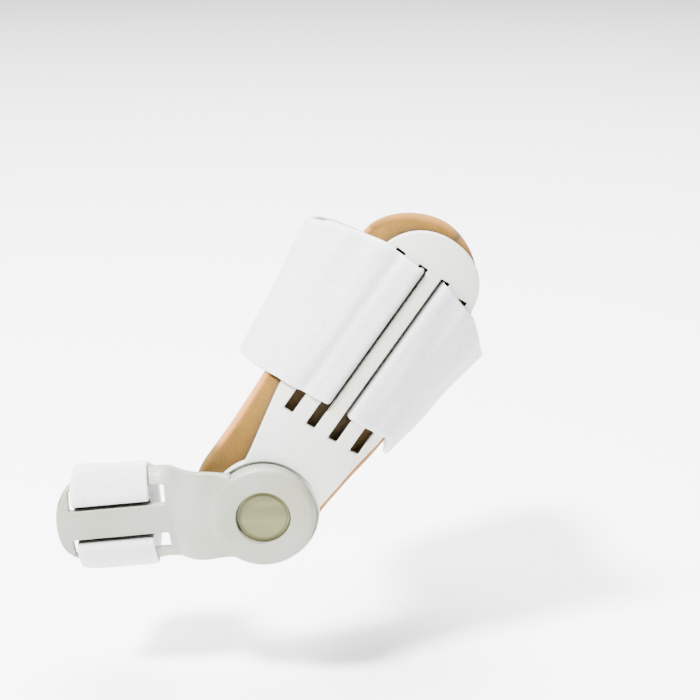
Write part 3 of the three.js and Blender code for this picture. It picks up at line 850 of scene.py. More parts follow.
@dataclass
class Plate:
    """What the two arms share: a slotted plate between two surfaces, with smooth edges and a round tip.

    Lengths are in millimetres. Columns of edges are the place along the arm, as a share of its length,
    and the distance of the plus and of the minus edge, as shares of its half width.
    """

    name: str
    node: str
    body: Body
    turn: Turn
    length: float
    half_width: float
    neck: float
    slot_end: float
    edges: Array
    tip_apex: float
    tip_fullness: dict[Edge, float]
    tip_corner: float
    tip_rows: int
    near_rows: int
    slots: list[Span]
    sides: int
    edge_rounding: float
    cell: float = 1.2
    rail_cells: int = 2
    stippled: float = 0.0
    stipple_start: float = 6.0
    stipple_margin: float = 0.1
    outer_slot_shorter: float = 0.0

    def front(self, x: Array, z: Array) -> Array:
        """Y of the face away from the loop."""
        raise NotImplementedError

    def back(self, x: Array, z: Array) -> Array:
        """Y of the face towards the loop."""
        raise NotImplementedError

    def near_patch(self, row: Array) -> Array:
        """Points (x, z) from near the hinge to the row where the slots start."""
        raise NotImplementedError

    def round_section(self) -> Array:
        """Closed section of the part that is turned about the hinge, as rows of radius and y."""
        raise NotImplementedError

    def neck_step(self, x: Array, shares: Span) -> Array:
        """Smooth step from 0 to 1 between two places given as shares of the neck."""
        return ease(x, shares[0] * self.neck, shares[1] * self.neck)

    def edge(self, x: Array, edge: Edge) -> Array:
        """Distance of an edge from the arm's line: the smooth table, then the tip's superellipse.

        Args:
            x: Places along the arm.
            edge: Which edge.

        Returns:
            Distances, both edges counted outwards.
        """
        table = self.edge_table(edge)
        start, reach = table[-1]
        apex = self.tip_apex * self.half_width * edge.value
        power = self.tip_fullness[edge]
        share = np.clip((x - start) / (self.length - start), 0.0, 1.0)
        tip = apex + (reach - apex) * (1.0 - share**power) ** (1.0 / power)
        return np.where(x < start, table_curve(table, x), tip)

    def edge_table(self, edge: Edge) -> Array:
        """Rows of place and distance of one edge, in millimetres."""
        column = 1 if edge is Edge.PLUS else 2
        return self.edges[:, [0, column]] * [self.length, self.half_width]

    def tip_curve(self, edge: Edge, angle: Array) -> Array:
        """Points (x, z) of the tip on one side, by the superellipse's angle.

        Args:
            edge: Which side.
            angle: Angles from 0 at the straight edge to a right angle at the apex.

        Returns:
            Points, one row each.
        """
        start = self.edge_table(edge)[-1] * [1.0, edge.value]
        apex = np.array([self.length, self.tip_apex * self.half_width])
        return rounded_end(start, apex, self.tip_fullness[edge], angle)

    def fixed_columns(self) -> Array:
        """Z of the columns between the outermost slot edges on each side, with one on every slot edge.

        Returns:
            Z of each column, rising.
        """
        marks = sorted({side * z for slot in self.slots for z in slot for side in (1, -1)})
        spans = []
        for a, b in zip(marks, marks[1:]):
            cells = max(2, math.ceil((b - a) / self.cell))
            spans.append(np.linspace(a, b, cells + 1)[:-1])
        return np.append(np.concatenate(spans), marks[-1])

    def straight_rows(self, x: Array) -> Array:
        """Points (x, z) of rows across the arm, the columns within the slots fixed and the rails between.

        Args:
            x: Place of each row.

        Returns:
            Points by row and column.
        """
        fixed = self.fixed_columns()
        share = np.linspace(0, 1, self.rail_cells + 1)[1:]
        plus = mix(fixed[-1], self.edge(x, Edge.PLUS)[:, None], share)
        minus = mix(fixed[0], -self.edge(x, Edge.MINUS)[:, None], share[::-1])
        inner = np.broadcast_to(fixed, (len(x), len(fixed)))
        z = np.concatenate([minus, inner, plus], 1)
        return np.stack([np.broadcast_to(x[:, None], z.shape), z], -1)

    def tip_patch(self, row: Array) -> Array:
        """Patch from the last straight row to the round tip.

        The side edges follow the superellipses up to the angle tip_corner, in degrees, and the cap
        goes on from there over the apex.

        Args:
            row: Points of the last straight row, the patch's first.

        Returns:
            Points by row and column.
        """
        reached = {}
        for edge in Edge:
            start = self.edges[-1, 0] * self.length
            share = (row[0, 0] - start) / (self.length - start)
            reached[edge] = math.asin(share ** (self.tip_fullness[edge] / 2.0))
        turned = math.radians(self.tip_corner)
        sides = {
            edge: self.tip_curve(edge, np.linspace(reached[edge], turned, self.tip_rows))
            for edge in Edge
        }
        across = (row[:, 1] - row[0, 1]) / (row[-1, 1] - row[0, 1])
        middle = across[np.argmin(np.abs(row[:, 1] - self.tip_apex * self.half_width))]
        rising = turned + (math.pi / 2 - turned) * across / middle
        falling = turned + (math.pi / 2 - turned) * (1 - across) / (1 - middle)
        minus = self.tip_curve(Edge.MINUS, np.minimum(rising, math.pi / 2))
        plus = self.tip_curve(Edge.PLUS, np.minimum(falling, math.pi / 2))
        cap = np.where((across <= middle)[:, None], minus, plus)
        return coons(row, cap, sides[Edge.MINUS], sides[Edge.PLUS], across)

    def plate_shell(self, plane: Array, first_slot_row: int, last_slot_row: int) -> tuple[Array, Array]:
        """Closed shell over a plan of points, with the slots left open between two rows.

        Args:
            plane: Points (x, z) by row and column.
            first_slot_row: Row at the slots' near ends.
            last_slot_row: Row at their far ends.

        Returns:
            Points in metres, and quads.
        """
        x, z = plane[..., 0], plane[..., 1]
        front = np.stack([x, self.front(x, z), z], -1)
        back = np.stack([x, self.back(x, z), z], -1)
        keep = np.ones((x.shape[0] - 1, x.shape[1] - 1), bool)
        middle = (z[first_slot_row, 1:] + z[first_slot_row, :-1]) / 2
        ends = self.slot_end - self.outer_slot_shorter * (middle < -self.slots[-1][0])
        reached = (x[1:, 1:] + x[:-1, 1:]) / 2 < ends
        for low, high in self.slots:
            is_open = reached & (np.abs(middle) > low) & (np.abs(middle) < high)
            keep[first_slot_row:last_slot_row] &= ~is_open[first_slot_row:last_slot_row]
        points, quads = shell(front, back, keep)
        return self.turn.place(points), quads

    def stipple(self, points: Array) -> Array:
        """Vectors whose first part is 1 on the middle bar's front between the slots' ends.

        Args:
            points: The piece's points, in metres in the part's frame.

        Returns:
            A vector for each point.
        """
        x, y, z = self.turn.plane(points).T
        on_bar = np.abs(z) < self.slots[0][0] + self.stipple_margin
        between = (x > self.neck + self.stipple_start) & (x < self.slot_end + self.stipple_margin)
        on_front = y < (self.front(x, z) + self.back(x, z)) / 2
        return np.outer(on_bar & between & on_front, (1.0, 0.0, 0.0)) * self.stippled

    def build(self, finish: MouldedPlastic) -> bpy.types.Object:
        """Make the arm's plate and its turned part as one piece and dress it.

        Args:
            finish: Finish of the plastic.

        Returns:
            The piece.
        """
        count = math.ceil((self.slot_end - self.neck) / self.cell)
        straight = self.straight_rows(np.linspace(self.neck, self.slot_end, count + 1))
        near = self.near_patch(straight[0])
        tip = self.tip_patch(straight[-1])
        plane = np.concatenate([near[:-1], straight, tip[1:]])
        plate = self.plate_shell(plane, len(near) - 1, len(near) - 1 + count)
        points, quads = lathe(self.round_section(), self.sides)
        marks = self.stipple(np.concatenate([plate[0], points * MM]))
        made = mesh_object(self.name, [plate, (points * MM, quads)], stipple=marks)
        round_edges(made, self.edge_rounding)
        dress(made, finish.material(), self.body, "arm_plastic", self.node)
        return made


@dataclass
class FootArm(Plate):
    """Foot arm: a long slotted plate, curled across, its fan-shaped web and its hinge disc.

    Spans that end in _span are shares of the neck.
    """

    name: str = "foot_arm_plate"
    node: str = "foot_arm"
    body: Body = Body.FOOT
    turn: Turn = Turn(54.6)
    length: float = 104.8
    half_width: float = 18.4
    neck: float = 31.5
    slot_end: float = 93.2
    outer_slot_shorter: float = 2.2
    edges: Array = field(default_factory=lambda: np.array([
        (0.020, 0.750, 0.720), (0.107, 0.800, 0.740), (0.228, 0.935, 0.820),
        (0.357, 1.060, 0.980), (0.600, 1.035, 0.990), (0.820, 1.000, 0.970),
    ]))
    tip_apex: float = 0.06
    tip_fullness: dict[Edge, float] = field(default_factory=lambda: {Edge.PLUS: 2.1, Edge.MINUS: 2.15})
    tip_corner: float = 56.0
    tip_rows: int = 9
    near_rows: int = 15
    slots: list[Span] = field(default_factory=lambda: [(2.5, 5.9), (11.0, 14.4)])
    sides: int = 144
    edge_rounding: float = 0.5
    stippled: float = 1.0
    thickness: float = 2.4
    web_thickness: float = 3.7
    thinning_span: Span = (0.55, 1.08)
    curve: float = 38.0
    curl_span: Span = (0.45, 1.2)
    recede: float = 6.0
    recede_span: Span = (0.5, 1.0)
    lean: float = 4.0
    back_level: float = -4.3
    disc_radius: float = 17.8
    disc_inset: float = 0.05
    recess_radius: float = 17.3
    recess_level: float = -6.8
    recess_crossing: Span = (5.0, 15.0)
    crossing_steps: int = 400
    hole_radius: float = 3.3

    def back(self, x: Array, z: Array) -> Array:
        """Flat round the hinge, then bent away along the arm and curled across it as an arc that leans.

        Args:
            x: Places along the arm.
            z: Places across it.

        Returns:
            Y of each place.
        """
        start, end = self.recede_span
        bend = bend_after(x, start * self.neck, end * self.neck) * math.tan(math.radians(self.recede))
        lean = z * math.tan(math.radians(self.lean))
        curl = self.neck_step(x, self.curl_span)
        return self.back_level + bend + curl * (sagitta(self.curve, z) - lean)

    def front(self, x: Array, z: Array) -> Array:
        """The back less the thickness, which goes from the web's to the plate's."""
        thinning = self.neck_step(x, self.thinning_span)
        return self.back(x, z) - mix(self.web_thickness, self.thickness, thinning)

    def near_patch(self, row: Array) -> Array:
        """Patch of the web, from an arc round the boss's recess to the row where the slots start.

        Args:
            row: Points of the row where the slots start, the patch's last.

        Returns:
            Points by row and column.
        """
        start = {}
        for edge in Edge:
            x = np.linspace(*self.recess_crossing, self.crossing_steps)
            radius = np.hypot(x, self.edge(x, edge))
            near = x[np.argmin(np.abs(radius - self.recess_radius))]
            start[edge] = (near, float(self.edge(np.array([near]), edge)[0]))
        across = (row[:, 1] - row[0, 1]) / (row[-1, 1] - row[0, 1])
        low = -math.atan2(start[Edge.MINUS][1], start[Edge.MINUS][0])
        high = math.atan2(start[Edge.PLUS][1], start[Edge.PLUS][0])
        angle = mix(low, high, across)
        radius = self.recess_radius - self.disc_inset
        arc = np.stack([radius * np.cos(angle), radius * np.sin(angle)], -1)
        sides = {}
        for edge in Edge:
            x = np.linspace(start[edge][0], self.neck, self.near_rows)
            sides[edge] = np.stack([x, edge.value * self.edge(x, edge)], -1)
        return coons(arc, row, sides[Edge.MINUS], sides[Edge.PLUS], across)

    def round_section(self) -> Array:
        """Section of the hinge disc: a rim as thick as the web round a thinner floor, with a hole.

        Returns:
            Rows of radius and y.
        """
        back = self.back_level - self.disc_inset
        front = self.back_level - self.web_thickness + self.disc_inset
        return rounded_profile([
            (self.hole_radius, back, 0.2),
            (self.disc_radius, back, 0.5),
            (self.disc_radius, front, 0.2),
            (self.recess_radius, front, 0.2),
            (self.recess_radius, self.recess_level, 0.2),
            (self.hole_radius, self.recess_level, 0.2),
        ])


@dataclass
class ToeArm(Plate):
    """Toe arm: a gutter-shaped slotted plate, its neck with a step, and the thick boss on the hinge.

    Spans that end in _span are shares of the neck.
    """

    name: str = "toe_arm_plate"
    node: str = "toe_arm"
    body: Body = Body.TOE
    turn: Turn = Turn(185.5)
    length: float = 67.0
    half_width: float = 15.5
    neck: float = 31.4
    slot_end: float = 62.4
    edges: Array = field(default_factory=lambda: np.array([
        (0.050, 0.840, 0.840), (0.170, 0.840, 0.960), (0.255, 0.860, 1.020),
        (0.400, 0.940, 1.030), (0.530, 1.000, 1.000), (0.790, 1.000, 1.000),
    ]))
    tip_apex: float = 0.0
    tip_fullness: dict[Edge, float] = field(default_factory=lambda: {Edge.PLUS: 2.4, Edge.MINUS: 2.4})
    tip_corner: float = 64.0
    tip_rows: int = 6
    near_rows: int = 34
    near_start: float = 9.0
    slots: list[Span] = field(default_factory=lambda: [(5.0, 10.8)])
    sides: int = 180
    edge_rounding: float = 0.55
    cell: float = 1.0
    thickness: float = 2.4
    neck_thickness: float = 2.7
    thinning_span: Span = (0.57, 0.92)
    curve: float = 22.0
    curl_span: Span = (0.57, 1.1)
    drop: float = 4.8
    drop_start: float = 0.57
    drop_stretch: float = 0.35
    neck_level: float = -11.0
    boss_radius: float = 16.5
    boss_back: float = -7.1
    boss_front: float = -13.4
    boss_floor: float = -10.2
    boss_round: float = 2.3
    head_hole: float = 8.72
    shank_hole: float = 3.3
    fillet_reach: float = 19.6
    fillet_radius: float = 3.4
    fillet_rise: float = 0.55

    def base_front(self, x: Array, z: Array) -> Array:
        """Level at the neck, a parabola down to the gutter's level, and curled across as an arc.

        Args:
            x: Places along the arm.
            z: Places across it.

        Returns:
            Y of each place.
        """
        ramp = np.clip((x / self.neck - self.drop_start) / self.drop_stretch, 0.0, 1.0)
        curl = self.neck_step(x, self.curl_span)
        return self.neck_level + self.drop * ramp**2 + curl * sagitta(self.curve, z)

    def front(self, x: Array, z: Array) -> Array:
        """The base surface, swept up to the boss by a hollow quarter of a circle.

        Args:
            x: Places along the arm.
            z: Places across it.

        Returns:
            Y of each place.
        """
        share = np.clip((self.fillet_reach - np.hypot(x, z)) / self.fillet_radius, 0.0, 1.0)
        rise = self.fillet_rise * self.fillet_radius
        return self.base_front(x, z) - rise * (1.0 - np.sqrt(1.0 - share**2))

    def back(self, x: Array, z: Array) -> Array:
        """The base surface plus the thickness, which goes from the neck's to the plate's."""
        thinning = self.neck_step(x, self.thinning_span)
        return self.base_front(x, z) + mix(self.neck_thickness, self.thickness, thinning)

    def near_patch(self, row: Array) -> Array:
        """Rows of the neck, with each side's columns drawn in or out to its edge.

        Args:
            row: Points of the row where the slots start, the patch's last.

        Returns:
            Points by row and column.
        """
        x = np.linspace(self.near_start, self.neck, self.near_rows)
        plus = self.edge(x, Edge.PLUS) / row[-1, 1]
        minus = self.edge(x, Edge.MINUS) / -row[0, 1]
        z = np.where(row[:, 1] > 0, plus[:, None], minus[:, None]) * row[:, 1]
        return np.stack([np.broadcast_to(x[:, None], z.shape), z], -1)

    def round_section(self) -> Array:
        """Section of the boss: a full round edge, a fine line inside it and the recess for the head.

        Returns:
            Rows of radius and y.
        """
        rim = self.boss_radius - self.boss_round
        return rounded_profile([
            (self.shank_hole, self.boss_back, 0.2),
            (self.boss_radius - 0.1, self.boss_back, 0.5),
            (self.boss_radius, self.boss_front + 0.06, self.boss_round),
            (rim - 0.1, self.boss_front + 0.12, 0.08),
            (rim - 0.35, self.boss_front, 0.15),
            (self.head_hole, self.boss_front, 0.45),
            (self.head_hole, self.boss_floor, 0.2),
            (self.shank_hole, self.boss_floor, 0.1),
        ], 9)


@dataclass
class HingeRivet:
    """Rivet: a slightly crowned cap sunk in the boss, its shank and the flange behind the foot arm."""

    head_radius: float = 8.42
    head_front: float = -11.8
    head_back: float = -10.5
    crown: float = 0.1
    crown_margin: float = 0.9
    crown_steps: int = 12
    shank_radius: float = 3.0
    flange_radius: float = 6.0
    flange_front: float = -5.3
    flange_back: float = -4.6
    sides: int = 128

    def build(self, finish: ChampagneCap) -> bpy.types.Object:
        """Turn the section about the hinge and dress it. The crown is a parabola over the face.

        Args:
            finish: Finish of the cap.

        Returns:
            The piece.
        """
        r = np.linspace(0.0, self.head_radius - self.crown_margin, self.crown_steps)
        face = np.stack([r, self.head_front - self.crown * (1 - (r / self.head_radius) ** 2)], -1)
        rest = rounded_profile([
            (self.head_radius, self.head_front, 0.6),
            (self.head_radius, self.head_back, 0.3),
            (self.shank_radius, self.head_back, 0.1),
            (self.shank_radius, self.flange_front, 0.1),
            (self.flange_radius, self.flange_front, 0.15),
            (self.flange_radius, self.flange_back, 0.15),
            (0.0, self.flange_back, 0.0),
        ])
        points, quads = lathe(np.concatenate([face, rest]), self.sides)
        made = mesh_object("hinge_rivet_cap", [(points * MM, quads)])
        dress(made, finish.material(), Body.FOOT, "rivet", "hinge_rivet")
        return made


# The foam pad


@dataclass
class PadPaintedShadeAndPale:
    """Where the pad has painted shade and where it is pale.

    Painted shade under the open ends of the slots, along the arm's edges and towards the hinge, and pale
    along the rim and, less so, painted light under the outer slots near the hinge.
    """

    arm: FootArm
    soft_edge: float = 0.9
    slot_start: float = 1.5
    slot_end: Span = (94.5, 95.5)
    # Strength of the painted shade under the inner slots' open ends.
    inner_slot_painted_shade: float = 0.92
    outer_from: float = 8.0
    # Painted light: paler foam under the outer slots, whose floor lies in shade.
    outer_painted_light: float = 0.5
    outer_painted_light_to: float = 60.0
    fading: float = 0.85
    fading_side: Span = (-2.0, 10.0)
    fading_along: Span = (60.0, 90.0)
    # Strength of the painted shade along the arm's edges.
    beside_painted_shade: float = 0.85
    beside_reach: float = 1.1
    # Strength of the painted shade towards the hinge.
    hinge_painted_shade: float = 0.25
    hinge_span: Span = (3.0, 15.0)
    rim_span: Span = (0.9, 2.2)
    rim_start: Span = (6.0, 12.0)
    tip_from: float = 92.0
    tip_pale: float = 0.3

    def vectors(self, x: Array, z: Array, rim: Array) -> Array:
        """How much painted shade and how pale each place of the pad is.

        Each cause is a product of soft steps or, beside the arm, a falling exponential, and the
        strongest cause holds.

        Args:
            x: Places along the arm.
            z: Places across it.
            rim: Distance from the pad's outline.

        Returns:
            Vectors of painted shade, pale and nil.
        """
        far = np.abs(z)
        # Painted shade under the slots' open ends, where the foam lies in the arm's shadow.
        slots = np.zeros_like(x)
        for low, high in self.arm.slots:
            slot = window(far, (low - self.soft_edge, low), (high, high + self.soft_edge))
            slots = np.maximum(slots, slot)
        slots *= window(x, (self.arm.neck - self.slot_start, self.arm.neck), self.slot_end)
        # Painted light under the outer slots near the hinge, which get no painted shade.
        outer = slots * (far > self.outer_from) * (x < self.outer_painted_light_to)
        faded = self.fading * ease(z, *self.fading_side) * ease(x, *self.fading_along)
        slots *= np.where(far > self.outer_from, 0.0, self.inner_slot_painted_shade) * (1 - faded)
        reach = np.where(z > 0, self.arm.edge(x, Edge.PLUS), self.arm.edge(x, Edge.MINUS))
        # Painted shade beside the arm, falling off away from its edges.
        beside = self.beside_painted_shade * np.exp(-np.maximum(far - reach, 0.0) / self.beside_reach)
        # Painted shade towards the hinge.
        hinge = self.hinge_painted_shade * (1 - ease(x, *self.hinge_span))
        dark = np.maximum(np.maximum(slots, beside), hinge)
        rimmed = (1 - ease(rim, *self.rim_span)) * ease(x, *self.rim_start)
        pale = rimmed * np.where(x > self.tip_from, self.tip_pale, 1.0)
        pale = np.maximum(pale, self.outer_painted_light * outer)
        return np.stack([dark, pale, np.zeros_like(x)], -1)


@dataclass
class FoamPad:
    """Foam pad behind the foot arm, wider than it on the instep side, with a full round rim.

    Pairs give where a soft step starts and ends. Those of the channel and of the rim's thinning are
    counted from the strap's edges, the others from the hinge or from the arm's line. The instep span
    and the sole edge are shares of the pad's length and of its reach to that side.
    """

    arm: FootArm
    gap: float = 0.3
    thickness: float = 4.0
    rim_thickness: float = 1.9
    rim_width: float = 6.0
    rim_radius: float = 1.9
    instep_reach: float = 24.8
    instep_span: Span = (0.03, 0.83)
    sole_reach: float = 19.9
    length: float = 107.9
    hinge_reach: float = 17.5
    apex: float = 0.2
    instep_tip_fullness: float = 1.8
    sole_tip_fullness: float = 1.9
    hinge_fullness: float = 2.0
    sole_edge: Array = field(default_factory=lambda: np.array([
        (0.030, 0.800), (0.100, 0.800), (0.200, 0.850), (0.325, 0.985), (0.500, 1.000), (0.740, 1.000),
    ]))
    strap_from: float = 40.8
    strap_to: float = 92.5
    rim_thinning: Span = (-9.0, -2.0)
    channel: float = 2.2
    channel_start: Span = (-2.5, -1.0)
    channel_end: Span = (1.0, 2.5)
    channel_side: Span = (5.6, 7.0)
    slot_dent: float = 1.9
    dent_start: Span = (29.5, 32.5)
    dent_end: Span = (95.0, 98.0)
    dent_side: Span = (14.2, 16.0)
    bulge: float = 0.5
    bulge_side: Span = (14.0, 19.0)
    bulge_end: Span = (30.0, 38.0)
    tip_bulge: Span = (100.0, 106.0)
    middle_span: Span = (4.0, 88.0)
    middle_height: float = 2.6
    uneven: float = 0.08
    uneven_waves: Span = (7.0, 18.0)
    uneven_seed: int = 5
    quarter_steps: int = 60
    instep_steps: int = 80
    sole_steps: int = 120
    outline_steps: int = 420
    face_rings: int = 26
    rim_rings: int = 13

    def outline(self) -> Array:
        """Points (x, z) round the pad, evenly spaced.

        The two long edges, then quarters of superellipses round the tip and round the hinge.

        Returns:
            Points, in order round the pad.
        """
        quarter = np.linspace(0, math.pi / 2, self.quarter_steps)
        tip = np.array([self.length, self.apex * self.instep_reach])
        near = np.array([-self.hinge_reach, self.apex * self.instep_reach])
        instep_start, instep_end = (
            np.array([share * self.length, self.instep_reach]) for share in self.instep_span
        )
        instep = np.linspace(instep_start[0], instep_end[0], self.instep_steps)
        table = self.sole_edge * [self.length, self.sole_reach]
        x = np.linspace(table[0, 0], table[-1, 0], self.sole_steps)
        sole = np.stack([x, -table_curve(table, x)], -1)
        ring = np.concatenate([
            rounded_end(instep_end, tip, self.instep_tip_fullness, quarter),
            rounded_end(sole[-1], tip, self.sole_tip_fullness, quarter)[::-1],
            sole[::-1],
            rounded_end(sole[0], near, self.hinge_fullness, quarter),
            rounded_end(instep_start, near, self.hinge_fullness, quarter)[::-1],
            np.stack([instep, np.full_like(instep, self.instep_reach)], -1),
        ])
        gaps = np.linalg.norm(np.diff(ring, axis=0), axis=1)
        ring = ring[np.append(True, gaps > DOUBLED_POINT)]
        reached = np.append(0, np.cumsum(np.linalg.norm(np.diff(ring, axis=0), axis=1)))
        places = np.linspace(0, reached[-1], self.outline_steps, endpoint=False)
        return np.stack([np.interp(places, reached, ring[:, k]) for k in range(2)], -1)

    def inner(self, x: Array, z: Array) -> Array:
        """Y of the inner face."""
        return self.arm.back(x, z) + self.gap + self.thickness

    def front(self, x: Array, z: Array) -> Array:
        """Y of the face behind the arm.

        The arm's back, thinned towards the instep rim where the strap goes over it, with a channel for
        the strap behind the middle bar, dents under the open ends of the slots, and a soft swelling
        where the foam stands free of the arm.

        Args:
            x: Places along the arm.
            z: Places across it.

        Returns:
            Y of each place.
        """
        rim = ease(z, self.instep_reach - self.rim_width, self.instep_reach)
        rim = rim * ease(x, *moved(self.rim_thinning, self.strap_from))
        y = self.arm.back(x, z) + self.gap + rim * (self.thickness - self.rim_thickness)
        start, end = moved(self.channel_start, self.strap_from), moved(self.channel_end, self.strap_to)
        strapped = window(x, start, end)
        y = y + self.channel * strapped * (1 - ease(np.abs(z), *self.channel_side))
        ends = window(x, self.dent_start, self.dent_end)
        y = y + self.slot_dent * ends * (1 - ease(np.abs(z), *self.dent_side)) * (1 - strapped)
        free = ease(z, *self.bulge_side) * (1 - ease(x, *self.bulge_end))
        return y - self.bulge * np.maximum(free, ease(x, *self.tip_bulge))

    def build(self, finish: TanFoam) -> bpy.types.Object:
        """Make the pad as rings from its middle line, over the rim and back, and dress it.

        Ring k goes from a point of the middle line towards the outline by its share, and near the
        outline the two faces close in a half circle.

        Args:
            finish: Finish of the foam.

        Returns:
            The piece.
        """
        outline = self.outline()
        along = np.clip(outline[:, 0], *self.middle_span)
        middle = np.stack([along, np.full(len(outline), self.middle_height)], -1)
        way = outline - middle
        distance = np.linalg.norm(way, axis=1, keepdims=True)
        held = middle + way / distance * (distance - self.rim_radius)
        front_edge = self.front(held[:, 0], held[:, 1])
        back_edge = self.inner(held[:, 0], held[:, 1])
        shares = np.linspace(0, 1, self.face_rings)
        rings = []
        for share in shares[:-1]:
            spot = middle + way / distance * (distance - self.rim_radius) * share
            rings.append(np.stack([spot[:, 0], self.front(spot[:, 0], spot[:, 1]), spot[:, 1]], -1))
        for angle in np.linspace(0, math.pi, self.rim_rings):
            spot = middle + way / distance * (distance - self.rim_radius * (1 - math.sin(angle)))
            y = mix(front_edge, back_edge, (1 - math.cos(angle)) / 2)
            rings.append(np.stack([spot[:, 0], y, spot[:, 1]], -1))
        for share in shares[::-1][1:]:
            spot = middle + way / distance * (distance - self.rim_radius) * share
            rings.append(np.stack([spot[:, 0], self.inner(spot[:, 0], spot[:, 1]), spot[:, 1]], -1))
        grid = np.stack(rings)
        lumps = ripple(grid[..., 0], grid[..., 2], *self.uneven_waves, stretch=1.0, seed=self.uneven_seed)
        grid[..., 1] += self.uneven * lumps
        rim = np.hypot(grid[..., 0] - outline[:, 0], grid[..., 2] - outline[:, 1])
        # Painted shade and paleness of each place of the foam, kept as a point attribute.
        wear = PadPaintedShadeAndPale(self.arm).vectors(grid[..., 0], grid[..., 2], rim)
        grid = np.concatenate([grid, grid[:, :1]], 1)
        wear = np.concatenate([wear, wear[:, :1]], 1)
        points = self.arm.turn.place(grid.reshape(-1, 3))
        faces = grid_faces(*grid.shape[:2])
        made = mesh_object("foam_pad_cushion", [(points, faces)], wear=wear.reshape(-1, 3))
        dress(made, finish.material(), Body.FOOT, "foam", "foam_pad")
        return made


# The straps


@dataclass
class StrapLoop:
    """A strap threaded behind an arm's middle bar, out through its slots and round in a loop.

    Pairs of lengths are those at the strap's first edge and at its last. Columns of course are depth,
    side, reach and drift, as shares of the loop's own. The lap is where the under end starts, where the
    top end stops and how long the top end takes to rise, as shares of the free course.
    """

    name: str
    node: str
    body: Body
    arm: Plate
    start: float
    width: float
    bar_half_width: float
    arrive: float
    leave: float
    depth: Span
    reach_plus: Span
    reach_minus: Span
    drift: Span
    flare_up: Span
    flare_down: Span
    course: Array
    lap: Triple
    spacing: float
    seed: int
    fold: float
    thickness: float = 1.6
    clearance: float = 0.42
    lap_gap: float = 0.3
    over_bar_at: tuple[float, ...] = (0.3, 0.65, 0.9)
    half_course_steps: int = 30
    measuring_steps: int = 6000
    edge_steps: tuple[float, ...] = (0.0, 0.06, 0.2, 0.45, 0.8, 1.3)
    fold_waves: Span = (9.0, 17.0)
    fold_stretch: float = 3.5
    lump: float = 0.05
    lump_waves: Span = (1.6, 3.6)
    lump_stretch: float = 1.2
    relief_fade: float = 4.0
    # Where the painted shade in the slots reaches, across and in depth.
    painted_slot_shade_span: Span = (0.1, 0.6)
    painted_slot_shade_depth: float = 7.0

    @property
    def offset(self) -> float:
        """Distance of the strap's middle from the plastic that it lies on."""
        return self.clearance + self.thickness / 2

    @property
    def fold_edge(self) -> float:
        """Distance from the arm's line of the strap's fold in front of the slot."""
        return self.bar_half_width + 2 * self.offset

    def turn_round(self, x: Array, y: Array, z: Array, start: float, end: float, steps: int = 5) -> Array:
        """Arc round a corner at the strap's distance, between two angles from +z.

        Args:
            x: Places along the arm, one for each column of the strap.
            y: Depth of the corner at each.
            z: Distance of the corner from the arm's line at each.
            start: First angle, in degrees.
            end: Last angle.
            steps: Points on the arc.

        Returns:
            Points by station and column.
        """
        angle = np.radians(np.linspace(start, end, steps))[:, None]
        column = np.broadcast_to(x, (steps, len(x)))
        return np.stack([column, y - self.offset * np.sin(angle), z + self.offset * np.cos(angle)], -1)

    def through_slot(self, x: Array, side: int) -> Array:
        """Course from behind the middle bar, out through the slot beside the bar, to the fold in front.

        Args:
            x: Places along the arm, one for each column of the strap.
            side: 1 or -1, the side of the arm.

        Returns:
            Points by station and column.
        """
        bar = np.full_like(x, self.bar_half_width)
        fold = np.full_like(x, self.fold_edge)
        back_turn = self.turn_round(x, self.arm.back(x, side * bar), bar, -90, 0)
        front_turn = self.turn_round(x, self.arm.front(x, side * fold), fold, 180, 90)
        behind = np.stack([
            np.stack([x, self.arm.back(x, side * p * bar) + self.offset, p * bar], -1) for p in (0.0, 0.5)
        ])
        course = np.concatenate([behind, back_turn, front_turn])
        return course * np.array([1.0, 1.0, side])

    def loop_points(self, x: Array, share: Array) -> tuple[Array, int, int]:
        """Control points over the outer bar, off the edge, round the loop and back to the other bar.

        Args:
            x: Places along the arm.
            share: Share of the way across the strap of each column.

        Returns:
            The points, the number before the free course, and the number on it.
        """
        flare = {1: mix(*self.flare_up, share), -1: mix(*self.flare_down, share)}
        depth = mix(*self.depth, share)
        drift = mix(*self.drift, share)
        reach = {1: mix(*self.reach_plus, share), -1: mix(*self.reach_minus, share)}

        def flared(side: int, portion: float) -> Array:
            """Places along the arm, moved by a portion of the flare on that side."""
            return x + flare[side] * portion

        def over_bar(side: int) -> Array:
            """Course on the outer bar's front, from the fold towards the arm's edge.

            Args:
                side: 1 or -1, the side of the arm.

            Returns:
                Points by station and column.
            """
            rows = []
            for portion in self.over_bar_at:
                place = flared(side, portion)
                z = mix(self.fold_edge, self.arm.edge(place, Edge(side)), portion)
                here = self.arm.front(place, side * z)
                slope = self.arm.front(place, side * (z + 0.5)) - self.arm.front(place, side * (z - 0.5))
                length = np.hypot(slope, 1.0)
                y = here - self.offset / length
                rows.append(np.stack([place, y, side * (z + self.offset * slope / length)], -1))
            return np.stack(rows)

        def off_edge(side: int) -> Array:
            """Course round the arm's edge and, where it turns that far, down its wall.

            Args:
                side: 1 or -1, the side of the arm.

            Returns:
                Points by station and column.
            """
            place = flared(side, 1.0)
            reach = self.arm.edge(place, Edge(side))
            corner = self.arm.front(place, side * reach)
            turn = self.turn_round(place, corner, reach, self.arrive, self.leave)[::2]
            if self.leave <= 0:
                back = self.arm.back(place, side * reach)
                wall = [np.stack([place, mix(corner, back, p), reach + self.offset], -1) for p in (0.6, 1.0)]
                turn = np.concatenate([turn, np.stack(wall)])
            return turn * np.array([1.0, 1.0, side])

